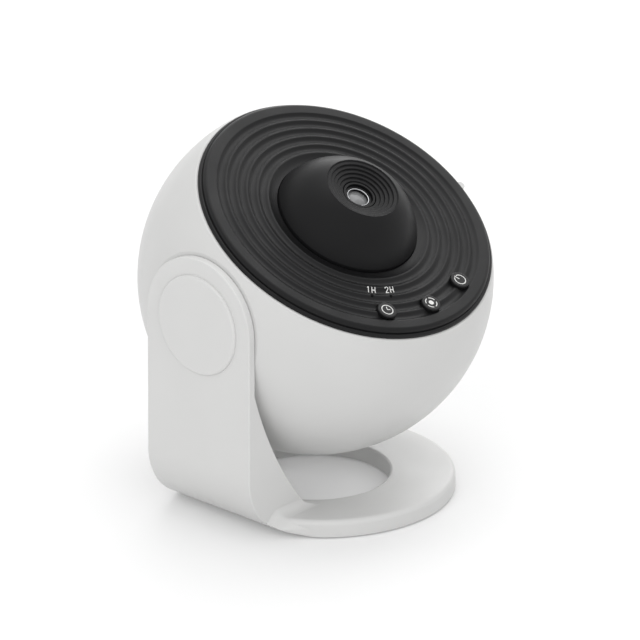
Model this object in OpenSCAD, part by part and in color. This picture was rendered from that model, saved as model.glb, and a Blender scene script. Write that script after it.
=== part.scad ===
// Ball-shaped planetarium projector on a one-armed stand.
// Heights are above the table. The head is drawn about the ball's centre with its optical
// axis along +Z, then tilted about the pivot, so a "level" is a distance along that axis.

/* [Ball head] */
// Outer radius of the ball
ball_r = 65; // [63:0.5:70]
// Wall of the ball
shell_wall = 2.2; // [1.6:0.1:3]
// Level of the ball's cut rim above its centre
rim_level = 29.3; // [28.3:0.1:31]
// Bevel on the ball's cut rim
rim_bevel = 0.3; // [0.1:0.1:0.6]
// Depth of the flat facet that faces the arm
facet_depth = 5.8; // [5:0.1:7]
// Height of the ball's centre above the table
ball_height = 79.9; // [77:0.1:90]
// Tilt of the face from level
head_tilt = 29.6; // [0:0.1:60]
// Radius of each long screw post inside the ball
post_r = 3.2; // [2.6:0.1:4]

/* [Face plate] */
// Rise of the plate's flat margin above the rim
plate_rise = 3.4; // [3:0.1:4.5]
// Gap in radius between the ball's rim and the plate's ledge
ledge_inset = 0.8; // [0.4:0.1:1.2]
// Rise of the low ledge round the plate
ledge_rise = 1.5; // [1:0.1:2]
// Width of the low ledge
ledge_w = 1.3; // [0.8:0.1:2]
// Round on the plate's raised edge
plate_round = 1; // [0.5:0.1:1.4]
// Round on the low ledge
ledge_round = 0.4; // [0.2:0.1:0.6]
// Width of the plate's flat margin outside the ripples
margin_w = 4.5; // [3.6:0.1:5.4]
// Width of the collar between the innermost crest and the dome
collar_w = 4.1; // [3.4:0.1:5]
// Number of ripple grooves
ripple_count = 5; // [3:1:5]
// Depth of a ripple groove
ripple_depth = 0.9; // [0.4:0.1:1.3]
// Width of the narrow crest between two grooves
crest_w = 0.3; // [0.2:0.1:1]
// Rise of the innermost crest over the margin
crest_rise = 0.3; // [0:0.1:0.6]
// Drop of the hollow collar from the inner crest to the dome
collar_drop = 1.1; // [0.5:0.1:1.4]
// Height of the snap spigot under the plate
spigot_h = 2.1; // [1.5:0.1:2.5]

/* [Dome and focus] */
// Radius of the dome's sphere
dome_r = 28.9; // [28.2:0.1:30]
// Radius of the dome's skirt
dome_skirt_r = 26.95; // [26:0.05:27.5]
// Running gap between the dome and the plate
dome_gap = 0.15; // [0.1:0.05:0.3]
// Level of the sphere's centre below the rim
dome_drop = 6.9; // [6:0.1:7.5]
// Radius of the crater's rim
crater_r = 13.6; // [12.8:0.1:14.5]
// Depth of the stepped crater
crater_depth = 3.5; // [2.5:0.1:4]
// Number of steps in the crater
crater_steps = 5; // [3:1:6]
// Radius of the opening at the crater's floor
aperture_r = 6.4; // [6.3:0.1:7]
// Travel of the lens barrel each way as the dome is turned
focus_travel = 1.8; // [1:0.1:1.8]

/* [Lenses] */
// Radius of the front lens
front_lens_r = 4.4; // [4:0.1:4.7]
// Thickness of the front lens at its middle
front_lens_t = 2.2; // [1.6:0.1:2.4]
// Depth of the lens's retaining ring below the nose
lens_sink = 1.1; // [0.2:0.1:1.4]
// Radius of the barrel's nose
nose_r = 6.1; // [5.9:0.1:6.2]
// Outer radius of the lens barrel
barrel_r = 12.4; // [12:0.1:12.6]
// Radius of the rear lens
rear_lens_r = 10.5; // [10:0.1:10.8]
// Radius of the condenser lens
condenser_r = 16.9; // [16:0.1:17.5]
// Height of the condenser lens
condenser_h = 6; // [5:0.1:6.5]

/* [Buttons] */
// Radius of a button
button_r = 3.7; // [3.3:0.1:4]
// Distance from the outermost crest in to the buttons' centres
button_inset = 4.6; // [4:0.1:5.5]
// Angle between two buttons
button_step = 24.5; // [20:0.5:26]
// Height of a button above the plate's margin
button_proud = 1; // [0.6:0.1:1.5]
// Travel of a button
button_travel = 0.5; // [0.3:0.1:0.6]
// Distance from the buttons' centres in to the indicator lights
light_inset = 7.45; // [6.8:0.05:7.8]
// Radius of an indicator's light pipe, pressed into the plate
light_r = 0.6; // [0.4:0.1:0.9]

/* [Disc tray and drive] */
// Level of the tray's middle plane below the rim
tray_drop = 5.3; // [5.1:0.1:5.8]
// Thickness of the tray
tray_t = 2.4; // [2:0.1:2.6]
// Half width of the tray
tray_half_w = 30.2; // [29.5:0.1:30.5]
// Width of the tray's finger tab
tab_w = 3.2; // [2.6:0.1:6]
// Distance of the finger tab's tip inside the ball's sphere
tab_inset = 0.2; // [0:0.1:1.6]
// Teeth of the film disc's gear
disc_teeth = 72; // [66:1:73]
// Teeth of the motor's pinion
pinion_teeth = 12; // [10:1:14]
// Module of the gear teeth
tooth_module = 0.75; // [0.7:0.01:0.76]
// Radius of the clear film
film_r = 22.4; // [21:0.1:23]

/* [Stand] */
// Half width of the arm, and radius of its round top
arm_half_w = 25.46; // [23:0.02:27]
// Thickness of the arm beside the pivot
arm_t = 2.8; // [2.6:0.1:4]
// Gap between the ball's facet and the arm
arm_gap = 0.3; // [0.3:0.05:0.8]
// Radius of the bend between the arm and the base
bend_r = 23.9; // [18:0.1:28]
// Radius of the sweep on the inner side of the arm
sweep_r = 151; // [120:1:200]
// Height at which the inner sweep begins
sweep_top = 58; // [54:0.5:62]
// Distance from the ball's axis to where the sweep meets the base
sweep_foot = 32.7; // [31:0.1:36]
// Round on the arm's outer edges
arm_round = 0.5; // [0.3:0.1:1.3]
// Radius of the base
base_r = 49; // [46:0.5:55]
// Height of the base's top
base_top = 7; // [6.5:0.1:9]
// Shift of the base's centre from the ball's axis, towards the arm
base_shift_x = 3.7; // [2:0.1:5]
// Shift of the base's centre from the ball's axis, towards the front
base_shift_y = 6.5; // [4:0.1:8]
// Round on the base's upper rim
base_round = 2; // [0.6:0.1:2.4]
// Round on the upper edge of the hole
hole_round = 0.8; // [0.4:0.1:1.6]
// Radius of the hole through the base
hole_r = 27.9; // [24:0.1:29]
// Radius of the pivot cap
cap_r = 19.05; // [18.4:0.05:20]
// Rise of the pivot cap over the arm
cap_rise = 1.2; // [1:0.1:2]
// Height of the rubber foot below the base
foot_rise = 0.6; // [0.4:0.1:1]

/* [Pivot] */
// Radius of the pivot hub's journal
hub_r = 10; // [8:0.1:11]
// Running clearance of the journal in the arm
hub_clearance = 0.05; // [0.03:0.01:0.08]
// Radius of the hub's flange
flange_r = 15.2; // [14:0.1:15.6]
// Depth of the counterbore in the arm
arm_sink = 1.4; // [1.3:0.05:1.5]

/* [Power inlet] */
// Angle of the inlet below the ball's equator, at the back
inlet_angle = 30; // [20:1:40]
// Width of the inlet's socket
inlet_w = 8.9; // [8:0.1:10]
// Height of the inlet's socket
inlet_h = 3.3; // [3:0.1:4]

/* [Hidden] */
$fn = 96;
// Overshoot of a cutting tool past the face that it cuts
e = 0.5;
// Clearance between two solids that only lie near each other
air = 0.3;
// Clearance of a screw or pin in its hole
screw_air = 0.03;
// Clearance round a screw's head, a cap or a cover in its recess
head_air = 0.1;
// Clearance of a sliding guide
slide_air = 0.08;

// The ball and its facet
facet_x = ball_r - facet_depth;
facet_r = sqrt(ball_r * ball_r - facet_x * facet_x);
shell_in = ball_r - shell_wall;
rim_r = sqrt(ball_r * ball_r - rim_level * rim_level);
arm_in = facet_x + arm_gap;
arm_out = arm_in + arm_t;
cap_face = arm_out + cap_rise;
bevel_slope = 1.5;
// Where the ball's axis stands, so that the whole part is centred on the origin
rim_angle = acos(rim_level / ball_r);
front_reach = rim_angle + head_tilt > 90 ? ball_r * cos(rim_angle + head_tilt - 90) : ball_r;
head_x = (cap_face - ball_r) / 2;
head_y = (front_reach - ball_r) / 2;

// The plate
plate_top = rim_level + plate_rise;
ledge_r = rim_r - ledge_inset;
margin_r = ledge_r - ledge_w;
ripple_r = margin_r - margin_w;
dome_bore = dome_skirt_r + dome_gap;
ripple_in = dome_bore + collar_w;
ripple_pitch = (ripple_r - ripple_in) / ripple_count;
joint_w = 0.35;
joint_depth = 0.4;
shadow_w = 0.5;
shadow_h = 0.3;
spigot_r = sqrt(shell_in * shell_in - rim_level * rim_level) - slide_air;
spigot_wall = 1.4;
hook_count = 6;
hook_arc = 12;
hook_h = 0.8;
hook_reach = 0.55;
collar_lead = 0.2;
collar_reach = collar_w - crest_w + collar_lead;
collar_r = (collar_reach * collar_reach + collar_drop * collar_drop) / (2 * collar_drop);
groove_chord = ripple_pitch - crest_w;
groove_r = (groove_chord * groove_chord / 4 + ripple_depth * ripple_depth) / (2 * ripple_depth);

// The dome
dome_level = rim_level - dome_drop;
crater_top = dome_level + sqrt(dome_r * dome_r - crater_r * crater_r);
crater_floor = crater_top - crater_depth;
crater_step = (crater_r - aperture_r) / crater_steps;
flange_air = 0.2;
dome_flange_t = 0.8;
dome_flange_w = 2.35;
dome_flange_top = rim_level - flange_air;
dome_flange_low = dome_flange_top - dome_flange_t;
dome_flange_r = dome_skirt_r + dome_flange_w;
dome_roof_t = 2.5;
dome_roof = crater_floor - dome_roof_t;
dome_skirt_t = 2;
retainer_t = 2;
retainer_lap = 1;
retainer_band = 3.7;
retainer_screw_r = 0.8;
retainer_head_r = 1.4;
retainer_head_t = 0.7;
retainer_thread = 1.9;
retainer_count = 3;
retainer_low = rim_level - retainer_t;
retainer_r = dome_flange_r + retainer_band;
retainer_screw_circle = retainer_r - retainer_head_r - flange_air;
retainer_sink = retainer_low + retainer_head_t + head_air / 2;

// The tray, its guides and the plates above and below it
tray_level = rim_level - tray_drop;
tray_low = tray_level - tray_t / 2;
tray_high = tray_level + tray_t / 2;
tray_rear = 31;
tray_flush = 0.02;
tray_slot_air = 0.2;
tab_shift = -1.5;
tab_t = 1.8;
tab_root = 12;
tab_reach = ball_r - tab_inset;
guide_w = 2;
guide_in = tray_half_w + air;
guide_out = guide_in + guide_w;
deck_t = 1.6;
deck_top = tray_low - air;
deck_low = deck_top - deck_t;
// The deck goes in through the ball's rim
deck_inset = 1;
deck_r = spigot_r - spigot_wall - deck_inset;
roof_t = 1.2;
roof_low = tray_high + air;
roof_top = roof_low + roof_t;
roof_inset = 3;
roof_r = deck_r - roof_inset;
roof_hole_r = 13;

// The disc and its drive
disc_pitch_r = disc_teeth * tooth_module / 2;
pinion_pitch_r = pinion_teeth * tooth_module / 2;
tooth_add = 0.85 * tooth_module;
tooth_ded = 1.05 * tooth_module;
disc_tip_r = disc_pitch_r + tooth_add;
pinion_tip_r = pinion_pitch_r + tooth_add;
mesh_play = 0.1;
pinion_x = disc_pitch_r + pinion_pitch_r + mesh_play;
pocket_r = disc_tip_r + air;
pocket_ledge = 0.8;
disc_rest = 0.15;
disc_low = tray_low + pocket_ledge + disc_rest;
disc_t = 1.3;
film_t = 0.4;
film_air = 0.02;
film_ledge = 1.8;
film_hole_r = film_r - film_ledge;
film_rim = 1.2;
light_hole_r = film_r + film_rim;
shaft_r = 1;
shaft_air = 0.05;
shaft_hole_r = shaft_r + 2 * air;
shaft_depth = 6;
motor_r = 7;
motor_h = 14;
motor_ear = 10;
motor_ear_r = 2.5;
motor_plate_t = 1;

// The light engine under the deck
tube_wall = 2.1;
tube_r = condenser_r + tube_wall;
tube_h = 17.5;
tube_low = deck_low - tube_h;
condenser_sink = 0.9;
condenser_top = deck_low - condenser_sink;
condenser_low = condenser_top - condenser_h;
condenser_edge = 2;
condenser_seat = 1.5;
seat_air = 0.05;
led_board_r = 14;
led_board_t = 1.6;
led_w = 5;
led_t = 1;
led_dome_r = 1.9;
sink_lip = 2;
sink_r = tube_r + sink_lip;
sink_t = 3;
sink_fins = 7;
fin_t = 1.4;
fin_h = 14;
fin_inset = 2;
sink_head_r = 1.4;
sink_head_t = 1;
sink_thread = 5;
sink_screw_inset = 1.8;
sink_screw_circle = tube_r - sink_screw_inset;
sink_screw_r = 0.7;

// The lens barrel, at the middle of its travel
barrel_low = roof_top + focus_travel + air;
barrel_flange_t = 1.2;
barrel_flange_r = 18.5;
barrel_wall = 1.8;
barrel_shoulder = dome_roof - focus_travel - air;
lens_air = 0.03;
lens_seat = 1.5;
barrel_hollow_r = rear_lens_r - lens_seat;
barrel_cap_t = 1.6;
nose_top = crater_floor - air;
front_lip = 0.8;
front_lens_swell = 1;
front_lens_edge = front_lens_t - front_lens_swell;
trim_t = 0.6;
trim_w = 0.9;
trim_lap = 0.3;
trim_top = nose_top - lens_sink;
front_seat = trim_top - trim_t - front_lens_t;
rear_sink = 3.5;
rear_top = barrel_shoulder - rear_sink;
rear_lens_t = 3.5;
rear_lens_edge = 1.5;
retaining_t = 1.4;
retaining_top = rear_top - rear_lens_edge - 2 * air;
pin_r = 1.2;
pin_circle = 15.5;
pin_top = barrel_low + barrel_flange_t + focus_travel + 2 * air;
dome_hollow_gap = 1;
dome_hollow_r = barrel_flange_r + dome_hollow_gap;
dome_hollow_top = pin_top + air;

// The switches under the buttons
button_circle_r = ripple_r - button_inset;
button_air = 0.1;
button_flange = 1.1;
button_flange_t = 0.9;
button_flange_top = rim_level - flange_air;
button_top = plate_top + button_proud;
button_round = 0.5;
light_circle_r = button_circle_r - light_inset;
light_angles = [18.1, 29.4];
light_air = 0.05;
light_top = plate_top + crest_rise / 2;
switch_w = 4.6;
switch_h = 1.6;
plunger_r = 1.2;
plunger_h = 0.3;
switch_drop = button_travel + flange_air + plunger_h + switch_h;
switch_board_top = button_flange_top - button_flange_t - switch_drop;
switch_board_t = 1.2;
board_edge = 5.6;
board_half = button_circle_r * sin(button_step) + board_edge;
// Screws of the boards and the motor, and the posts that take them
board_screw_r = 0.9;
board_head_r = 1.7;
board_head_t = 1;
board_thread = 3;
board_post_r = 2.4;

// The posts that carry the chassis
post_hole_r = 1.3;
screw_len = 9;
head_screw_r = 2.4;
head_screw_t = 1.6;
post_y = guide_out + head_screw_r + 4 * air;
post_x = sqrt(pow(deck_r - post_r, 2) - post_y * post_y);

// The hub, its screws and the cap
sink_floor = arm_out - arm_sink;
washer_t = 0.4;
washer_gap = 0.1;
flange_low = sink_floor + washer_t + washer_gap;
cap_wall = 0.9;
cap_round = 0.8 * cap_rise;
cap_snap = 0.9;
flange_top = cap_face - cap_wall - air;
cap_ring_r = flange_r + air + cap_wall;
sink_r_arm = cap_ring_r + head_air;
hub_spigot = 1;
boss_wall = 2;
boss_r = hub_r + boss_wall;
boss_depth = 9;
hub_screw_circle = 6;
hub_screw_r = 1.25;
hub_head_r = 2.3;
hub_head_t = 1.4;
hub_screw_len = 6.5;

// The base and its cover
bend_x = -arm_out + bend_r;
hole_shift_x = 6.1;
hole_shift_y = 5;
hole_wall = 4.6;
rim_wall = 3.2;
cover_t = 1.6;
cover_in = hole_r + hole_wall;
cover_out = base_r - rim_wall;
cover_w = cover_out - cover_in;
pocket_h = 3.6;
pocket_top = foot_rise + pocket_h;
cover_edge = 1.2;
cover_edge_x = bend_x + cover_edge;
foot_in = cover_in + 0.55 * cover_w;
foot_out = cover_out - 0.12 * cover_w;
foot_seat = 0.6;
foot_air = 0.05;
foot_t = foot_rise + foot_seat;
foot_edge = 0.4;
foot_edge_x = cover_edge_x + foot_edge;
base_screw_circle = cover_in + 0.24 * cover_w;
base_screw_r = 1;
base_screw_angles = [-80, -20, 40, 95];
base_head_r = 2 * base_screw_r;
base_head_t = 0.7;
base_head_seat = foot_rise + base_head_t + head_air;
base_boss_r = 2.4;

// The inlet
inlet_face = shell_in;
inlet_depth = 7.6;
inlet_air = 0.2;
socket_wall = 0.3;
socket_back = 1;
tongue_t = 0.7;
tongue_inset = 1.1;
tongue_sink = 1;
main_board_w = 36;
main_board_t = 1.6;
main_board_near = 28;
main_board_far = inlet_face - inlet_depth;
main_thread = 5;
main_screw_x = 14;
main_screw_inset = 7;
main_screw_y = main_board_far - main_screw_inset;
vent_count = 7;
vent_pitch = 4.6;
vent_w = 1.8;
vent_reach = 17;
vent_top = -sqrt(shell_in * shell_in - vent_reach * vent_reach) + 2 * e;

// Frames and small shapes

module stand_frame() {
  translate([head_x, head_y, 0]) children();
}

module head_frame() {
  translate([head_x, head_y, ball_height]) rotate([head_tilt, 0, 0]) children();
}

// Puts +Z along -X of the head, measured out from the ball's centre
module pivot_frame() {
  rotate([0, -90, 0]) children();
}

// Puts +Z outward along the inlet's direction and +Y across the board
module inlet_frame() {
  rotate([-90 - inlet_angle, 0, 0]) children();
}

// A ring or a disc from one level to another
module ring(r_out, r_in, low, high) {
  rotate_extrude() translate([r_in, low]) square([r_out - r_in, high - low]);
}

// A round bar from one level to another
module bar(r, low, high) {
  translate([0, 0, low]) cylinder(r = r, h = high - low);
}

// A screw with a flat head whose underside is at level 0, pointing down
module screw(r, len, head_r, head_t) {
  bar(r, -len, 0);
  bar(head_r, 0, head_t);
}

// A slot with round ends, drawn flat
module slot(w, h) {
  square([w - h, h], center = true);
  for (side = [-1, 1]) translate([side * (w - h) / 2, 0]) circle(r = h / 2);
}

// A square with its upper right corner rounded, from x = 0 and y = 0
module corner_square(w, h, r) {
  square([w - r, h]);
  square([w, h - r]);
  intersection() {
    translate([w - r, h - r]) circle(r = r);
    square([w, h]);
  }
}

// Gear outline with straight-sided tapered teeth; a tooth points along +X
function tooth_ring(teeth, root, tip) = [
  for (i = [0 : teeth - 1])
    for (p = [[-0.32, root], [-0.12, tip], [0.12, tip], [0.32, root]])
      let (a = (i + p[0]) * 360 / teeth) [p[1] * cos(a), p[1] * sin(a)]
];

module gear(teeth, pitch_r, t) {
  linear_extrude(t) polygon(tooth_ring(teeth, pitch_r - tooth_ded, pitch_r + tooth_add));
}

// Where the three buttons stand: the middle one is at the front of the plate
module at_button(i) {
  rotate([0, 0, -90 + i * button_step]) translate([button_circle_r, 0, 0]) children();
}

module at_light(i) {
  rotate([0, 0, -90 - light_angles[i]]) translate([light_circle_r, 0, 0]) children();
}

module at_posts() {
  for (x = [-1, 1], y = [-1, 1]) translate([x * post_x, y * post_y, 0]) children();
}

module at_hub_screws() {
  for (i = [0 : 2]) rotate([0, 0, i * 120]) translate([hub_screw_circle, 0, 0]) children();
}

module at_retainer_screws() {
  for (i = [0 : retainer_count - 1])
    rotate([0, 0, 90 + i * 360 / retainer_count])
      translate([retainer_screw_circle, 0, 0]) children();
}

module at_sink_screws() {
  for (i = [0 : 2]) rotate([0, 0, 30 + i * 120]) translate([sink_screw_circle, 0, 0]) children();
}

// Between the middle button and each outer one
module at_board_screws() {
  for (side = [-1, 1])
    rotate([0, 0, -90 + side * button_step / 2]) translate([button_circle_r, 0, 0]) children();
}

module at_base_screws() {
  translate([-base_shift_x, -base_shift_y, 0])
    for (a = base_screw_angles)
      rotate([0, 0, a]) translate([base_screw_circle, 0, 0]) children();
}

// The stand: an arm, a bend and a round base in one moulding

// Side view of the arm, x across and height up, solid on the outer side of the sweep
sweep_p = [-arm_in, sweep_top];
sweep_q = [-sweep_foot, base_top];
sweep_mid = (sweep_p + sweep_q) / 2;
sweep_chord = sweep_q - sweep_p;
sweep_off = sqrt(sweep_r * sweep_r / (sweep_chord * sweep_chord) - 1 / 4);
sweep_c = sweep_mid + sweep_off * [-sweep_chord[1], sweep_chord[0]];

module arm_side() {
  difference() {
    translate([-arm_out - e, 0]) square([arm_out + e - sweep_foot + base_top, sweep_top]);
    translate(sweep_c) circle(r = sweep_r, $fn = 240);
  }
  translate([-arm_out - e, sweep_top - e])
    square([arm_t + e, ball_height + arm_half_w - sweep_top + 2 * e]);
}

module side_extrude(half) {
  rotate([90, 0, 0]) translate([0, 0, -half]) linear_extrude(2 * half) children();
}

// Level section of the arm, its outer face at x = depth and its outer edges rounded
module arm_section(depth) {
  corner_square(depth, arm_half_w, arm_round);
  mirror([0, 1]) corner_square(depth, arm_half_w, arm_round);
}

module arm_blank() {
  // round top about the pivot
  translate([0, 0, ball_height]) pivot_frame()
    rotate_extrude() translate([0, arm_in]) corner_square(arm_half_w, arm_t, arm_round);
  // straight run
  translate([0, 0, foot_rise + bend_r])
    linear_extrude(ball_height - foot_rise - bend_r)
      mirror([1, 0]) translate([arm_in - bend_r, 0]) arm_section(arm_t + bend_r);
  // bend
  translate([bend_x, 0, foot_rise + bend_r]) rotate([90, 0, 0])
    rotate_extrude() arm_section(bend_r);
  // foot of the bend
  translate([bend_x, -arm_half_w, foot_rise])
    cube([-sweep_foot + base_top - bend_x, 2 * arm_half_w, bend_r]);
}

module base_side() {
  translate([bend_x, foot_rise + bend_r]) circle(r = bend_r, $fn = 240);
  translate([bend_x, foot_rise]) square([2 * base_r + bend_r, base_top]);
}

module base_disc() {
  translate([-base_shift_x, -base_shift_y, foot_rise])
    rotate_extrude($fn = 240) corner_square(base_r, base_top - foot_rise, base_round);
}

module base_hole() {
  translate([-hole_shift_x, -hole_shift_y, 0]) {
    translate([0, 0, -e]) cylinder(r = hole_r, h = base_top + 2 * e, $fn = 180);
    translate([0, 0, base_top - hole_round]) rotate_extrude($fn = 180)
      translate([hole_r - e, 0]) difference() {
        square([hole_round + e, hole_round + e]);
        translate([hole_round + e, 0]) circle(r = hole_round);
      }
  }
}

module stand() {
  color("gainsboro") stand_frame() difference() {
    union() {
      intersection() {
        base_disc();
        side_extrude(2 * base_r) base_side();
      }
      intersection() {
        arm_blank();
        side_extrude(arm_half_w + e) arm_side();
      }
    }
    base_hole();
    // room for the ball
    translate([0, 0, ball_height]) intersection() {
      sphere(r = ball_r + 2 * air, $fn = 180);
      translate([-arm_in, -ball_r, -2 * ball_r]) cube([2 * ball_r, 2 * ball_r, 4 * ball_r]);
    }
    // bore for the hub and the sink under the cap
    translate([0, 0, ball_height]) pivot_frame() {
      bar(hub_r + hub_clearance, arm_in - e, arm_out + e);
      bar(sink_r_arm, sink_floor, arm_out + e);
    }
    // pocket closed by the cover
    intersection() {
      translate([-base_shift_x, -base_shift_y, 0])
        ring(cover_out + head_air, cover_in - head_air, -e, pocket_top);
      translate([cover_edge_x - head_air, -2 * base_r, -e])
        cube([3 * base_r, 4 * base_r, base_top]);
    }
  }
  color("gainsboro") stand_frame() difference() {
    at_base_screws() bar(base_boss_r, foot_rise + cover_t, pocket_top + e);
    at_base_screws() bar(base_screw_r + screw_air, 0, pocket_top - air);
  }
}

module base_cover() {
  color("silver") stand_frame() difference() {
    intersection() {
      translate([-base_shift_x, -base_shift_y, 0])
        ring(cover_out, cover_in, foot_rise, foot_rise + cover_t);
      translate([cover_edge_x, -2 * base_r, 0]) cube([3 * base_r, 4 * base_r, base_top]);
    }
    translate([-base_shift_x, -base_shift_y, 0])
      ring(foot_out + foot_air, foot_in - foot_air, foot_rise - e, foot_t + screw_air);
    at_base_screws() {
      bar(base_screw_r + screw_air, -e, base_top);
      bar(base_head_r + head_air, -e, base_head_seat);
    }
  }
}

module base_screws() {
  color("dimgray") stand_frame() at_base_screws()
    translate([0, 0, base_head_seat]) mirror([0, 0, 1])
      screw(base_screw_r, pocket_top - base_head_seat - 2 * air, base_head_r, base_head_t);
}

module foot_ring() {
  color("dimgray") stand_frame() intersection() {
    translate([-base_shift_x, -base_shift_y, 0]) ring(foot_out, foot_in, 0, foot_t);
    translate([foot_edge_x, -2 * base_r, 0]) cube([3 * base_r, 4 * base_r, base_top]);
  }
}

module friction_washer() {
  color("dimgray") translate([head_x, head_y, ball_height]) pivot_frame()
    ring(flange_r, hub_r + e, sink_floor, sink_floor + washer_t);
}

module pivot_cap() {
  color("gainsboro") translate([head_x, head_y, ball_height]) pivot_frame()
    rotate_extrude() {
      difference() {
        translate([0, arm_out]) corner_square(cap_r, cap_rise, cap_round);
        translate([-e, arm_out - e])
          square([cap_ring_r - cap_wall + e, cap_rise - cap_wall + e]);
      }
      translate([cap_ring_r - cap_wall, arm_out - cap_snap])
        square([cap_wall, cap_snap + cap_rise - cap_wall]);
    }
}

// The ball

module shell_void() {
  intersection() {
    sphere(r = shell_in, $fn = 180);
    translate([-facet_x + shell_wall, -ball_r, -ball_r]) cube(2 * ball_r);
  }
}

module shell() {
  color("whitesmoke") head_frame() difference() {
    union() {
      difference() {
        intersection() {
          sphere(r = ball_r, $fn = 180);
          translate([-facet_x, -ball_r, -ball_r])
            cube([2 * ball_r, 2 * ball_r, ball_r + rim_level]);
          rotate_extrude($fn = 180) polygon([
            [0, -ball_r], [ball_r + e, -ball_r],
            [ball_r + e, rim_level - (ball_r + e - rim_r + rim_bevel) / bevel_slope],
            [rim_r - rim_bevel, rim_level], [0, rim_level]
          ]);
        }
        shell_void();
      }
      intersection() {
        sphere(r = ball_r - shell_wall / 2);
        union() {
          at_posts() bar(post_r, -ball_r, deck_low);
          pivot_frame() bar(boss_r, facet_x - boss_depth, facet_x - shell_wall / 2);
          inlet_frame() for (side = [-1, 1])
            translate([side * main_screw_x, main_board_t / 2, main_screw_y])
              rotate([-90, 0, 0]) bar(board_post_r, 0, ball_r);
        }
      }
    }
    // seat and screw holes of the hub
    pivot_frame() {
      bar(hub_r + screw_air, facet_x - hub_spigot, ball_r);
      at_hub_screws() bar(hub_screw_r + screw_air, facet_x - boss_depth - e, ball_r);
    }
    at_posts() bar(post_hole_r + screw_air, deck_low - screw_len, deck_low + e);
    // slot of the disc tray
    translate([0, -tray_half_w - air, tray_low - tray_slot_air])
      cube([ball_r + e, 2 * (tray_half_w + air), tray_t + 2 * tray_slot_air]);
    // hole of the power inlet
    inlet_frame() {
      translate([0, 0, shell_in - inlet_depth]) linear_extrude(ball_r)
        slot(inlet_w + 2 * inlet_air, inlet_h + 2 * inlet_air);
      for (side = [-1, 1])
        translate([side * main_screw_x, main_board_t / 2 - e, main_screw_y])
          rotate([-90, 0, 0]) bar(board_screw_r + screw_air, 0, main_thread + 2 * e);
    }
    // vents over the heat sink
    for (i = [0 : vent_count - 1])
      let (y = (i - (vent_count - 1) / 2) * vent_pitch)
        translate([0, y, -ball_r - e]) linear_extrude(ball_r + e + vent_top)
          slot(2 * sqrt(vent_reach * vent_reach - y * y), vent_w);
  }
}

module pivot_hub() {
  color("dimgray") head_frame() pivot_frame() difference() {
    union() {
      bar(hub_r, facet_x - hub_spigot, flange_low + e);
      bar(flange_r, flange_low, flange_top);
    }
    at_hub_screws() {
      bar(hub_screw_r + screw_air, 0, ball_r);
      bar(hub_head_r + head_air, flange_top - hub_head_t, ball_r);
    }
  }
}

module hub_screws() {
  color("silver") head_frame() pivot_frame() at_hub_screws()
    translate([0, 0, flange_top - hub_head_t])
      screw(hub_screw_r, hub_screw_len, hub_head_r, hub_head_t - head_air);
}

// The plate with its ripples, snapped into the ball's rim

module plate_profile() {
  difference() {
    union() {
      // low ledge that covers the ball's rim
      translate([0, rim_level]) corner_square(ledge_r, ledge_rise, ledge_round);
      // raised plate
      translate([0, rim_level]) corner_square(margin_r, plate_rise, plate_round);
      // crests that rise slightly towards the dome
      polygon([
        [dome_bore, rim_level], [ripple_r, rim_level], [ripple_r, plate_top],
        [ripple_in, plate_top + crest_rise],
        [dome_bore, plate_top + crest_rise]
      ]);
    }
    // hollow collar that falls to the dome
    translate([dome_bore - collar_lead, plate_top + crest_rise + collar_r - collar_drop])
      circle(r = collar_r);
    // dark joint between the ledge and the raised plate
    translate([margin_r, rim_level + ledge_rise - joint_depth])
      square([joint_w, joint_depth + e]);
    // shadow gap over the ball's rim
    translate([ledge_r - shadow_w, rim_level - e]) square([shadow_w + e, e + shadow_h]);
    translate([-e, rim_level - e]) square([dome_bore + e, plate_rise + crest_rise + 2 * e]);
    for (i = [0 : ripple_count - 1])
      translate([
        ripple_in + (i + 0.5) * ripple_pitch,
        plate_top + crest_rise * (1 - (i + 0.5) / ripple_count) + groove_r - ripple_depth
      ]) circle(r = groove_r);
  }
  translate([spigot_r - spigot_wall, rim_level - spigot_h]) square([spigot_wall, spigot_h + e]);
}

module bezel() {
  color("#303032") head_frame() difference() {
    union() {
      rotate_extrude($fn = 180) plate_profile();
      for (i = [0 : hook_count - 1])
        rotate([0, 0, (i + 0.5) * 360 / hook_count - hook_arc / 2])
          rotate_extrude(angle = hook_arc)
            translate([spigot_r - e, rim_level - spigot_h])
              square([hook_reach + e, hook_h]);
    }
    for (i = [-1 : 1])
      at_button(i) bar(button_r + button_air, rim_level - e, plate_top + crest_rise + e);
    for (i = [0 : 1]) at_light(i) bar(light_r + light_air, rim_level - e, plate_top + crest_rise + e);
    at_retainer_screws()
      bar(retainer_screw_r + screw_air, rim_level - e, rim_level + retainer_thread);
  }
}

module dome_retainer() {
  color("#303032") head_frame() difference() {
    rotate_extrude() difference() {
      translate([dome_skirt_r - retainer_lap, retainer_low])
        square([retainer_r - dome_skirt_r + retainer_lap, retainer_t]);
      translate([0, dome_flange_low - flange_air]) square([dome_flange_r + air, dome_r]);
    }
    at_retainer_screws() {
      bar(retainer_screw_r + screw_air, 0, ball_r);
      bar(retainer_head_r + head_air, retainer_low - e, retainer_sink);
    }
  }
}

module retainer_screws() {
  color("silver") head_frame() at_retainer_screws()
    translate([0, 0, retainer_sink]) mirror([0, 0, 1])
      screw(retainer_screw_r, rim_level + retainer_thread - air / 2 - retainer_sink,
        retainer_head_r, retainer_head_t);
}

// The chassis: a deck and a roof with the tray's guides between them, and the lens tube

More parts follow.
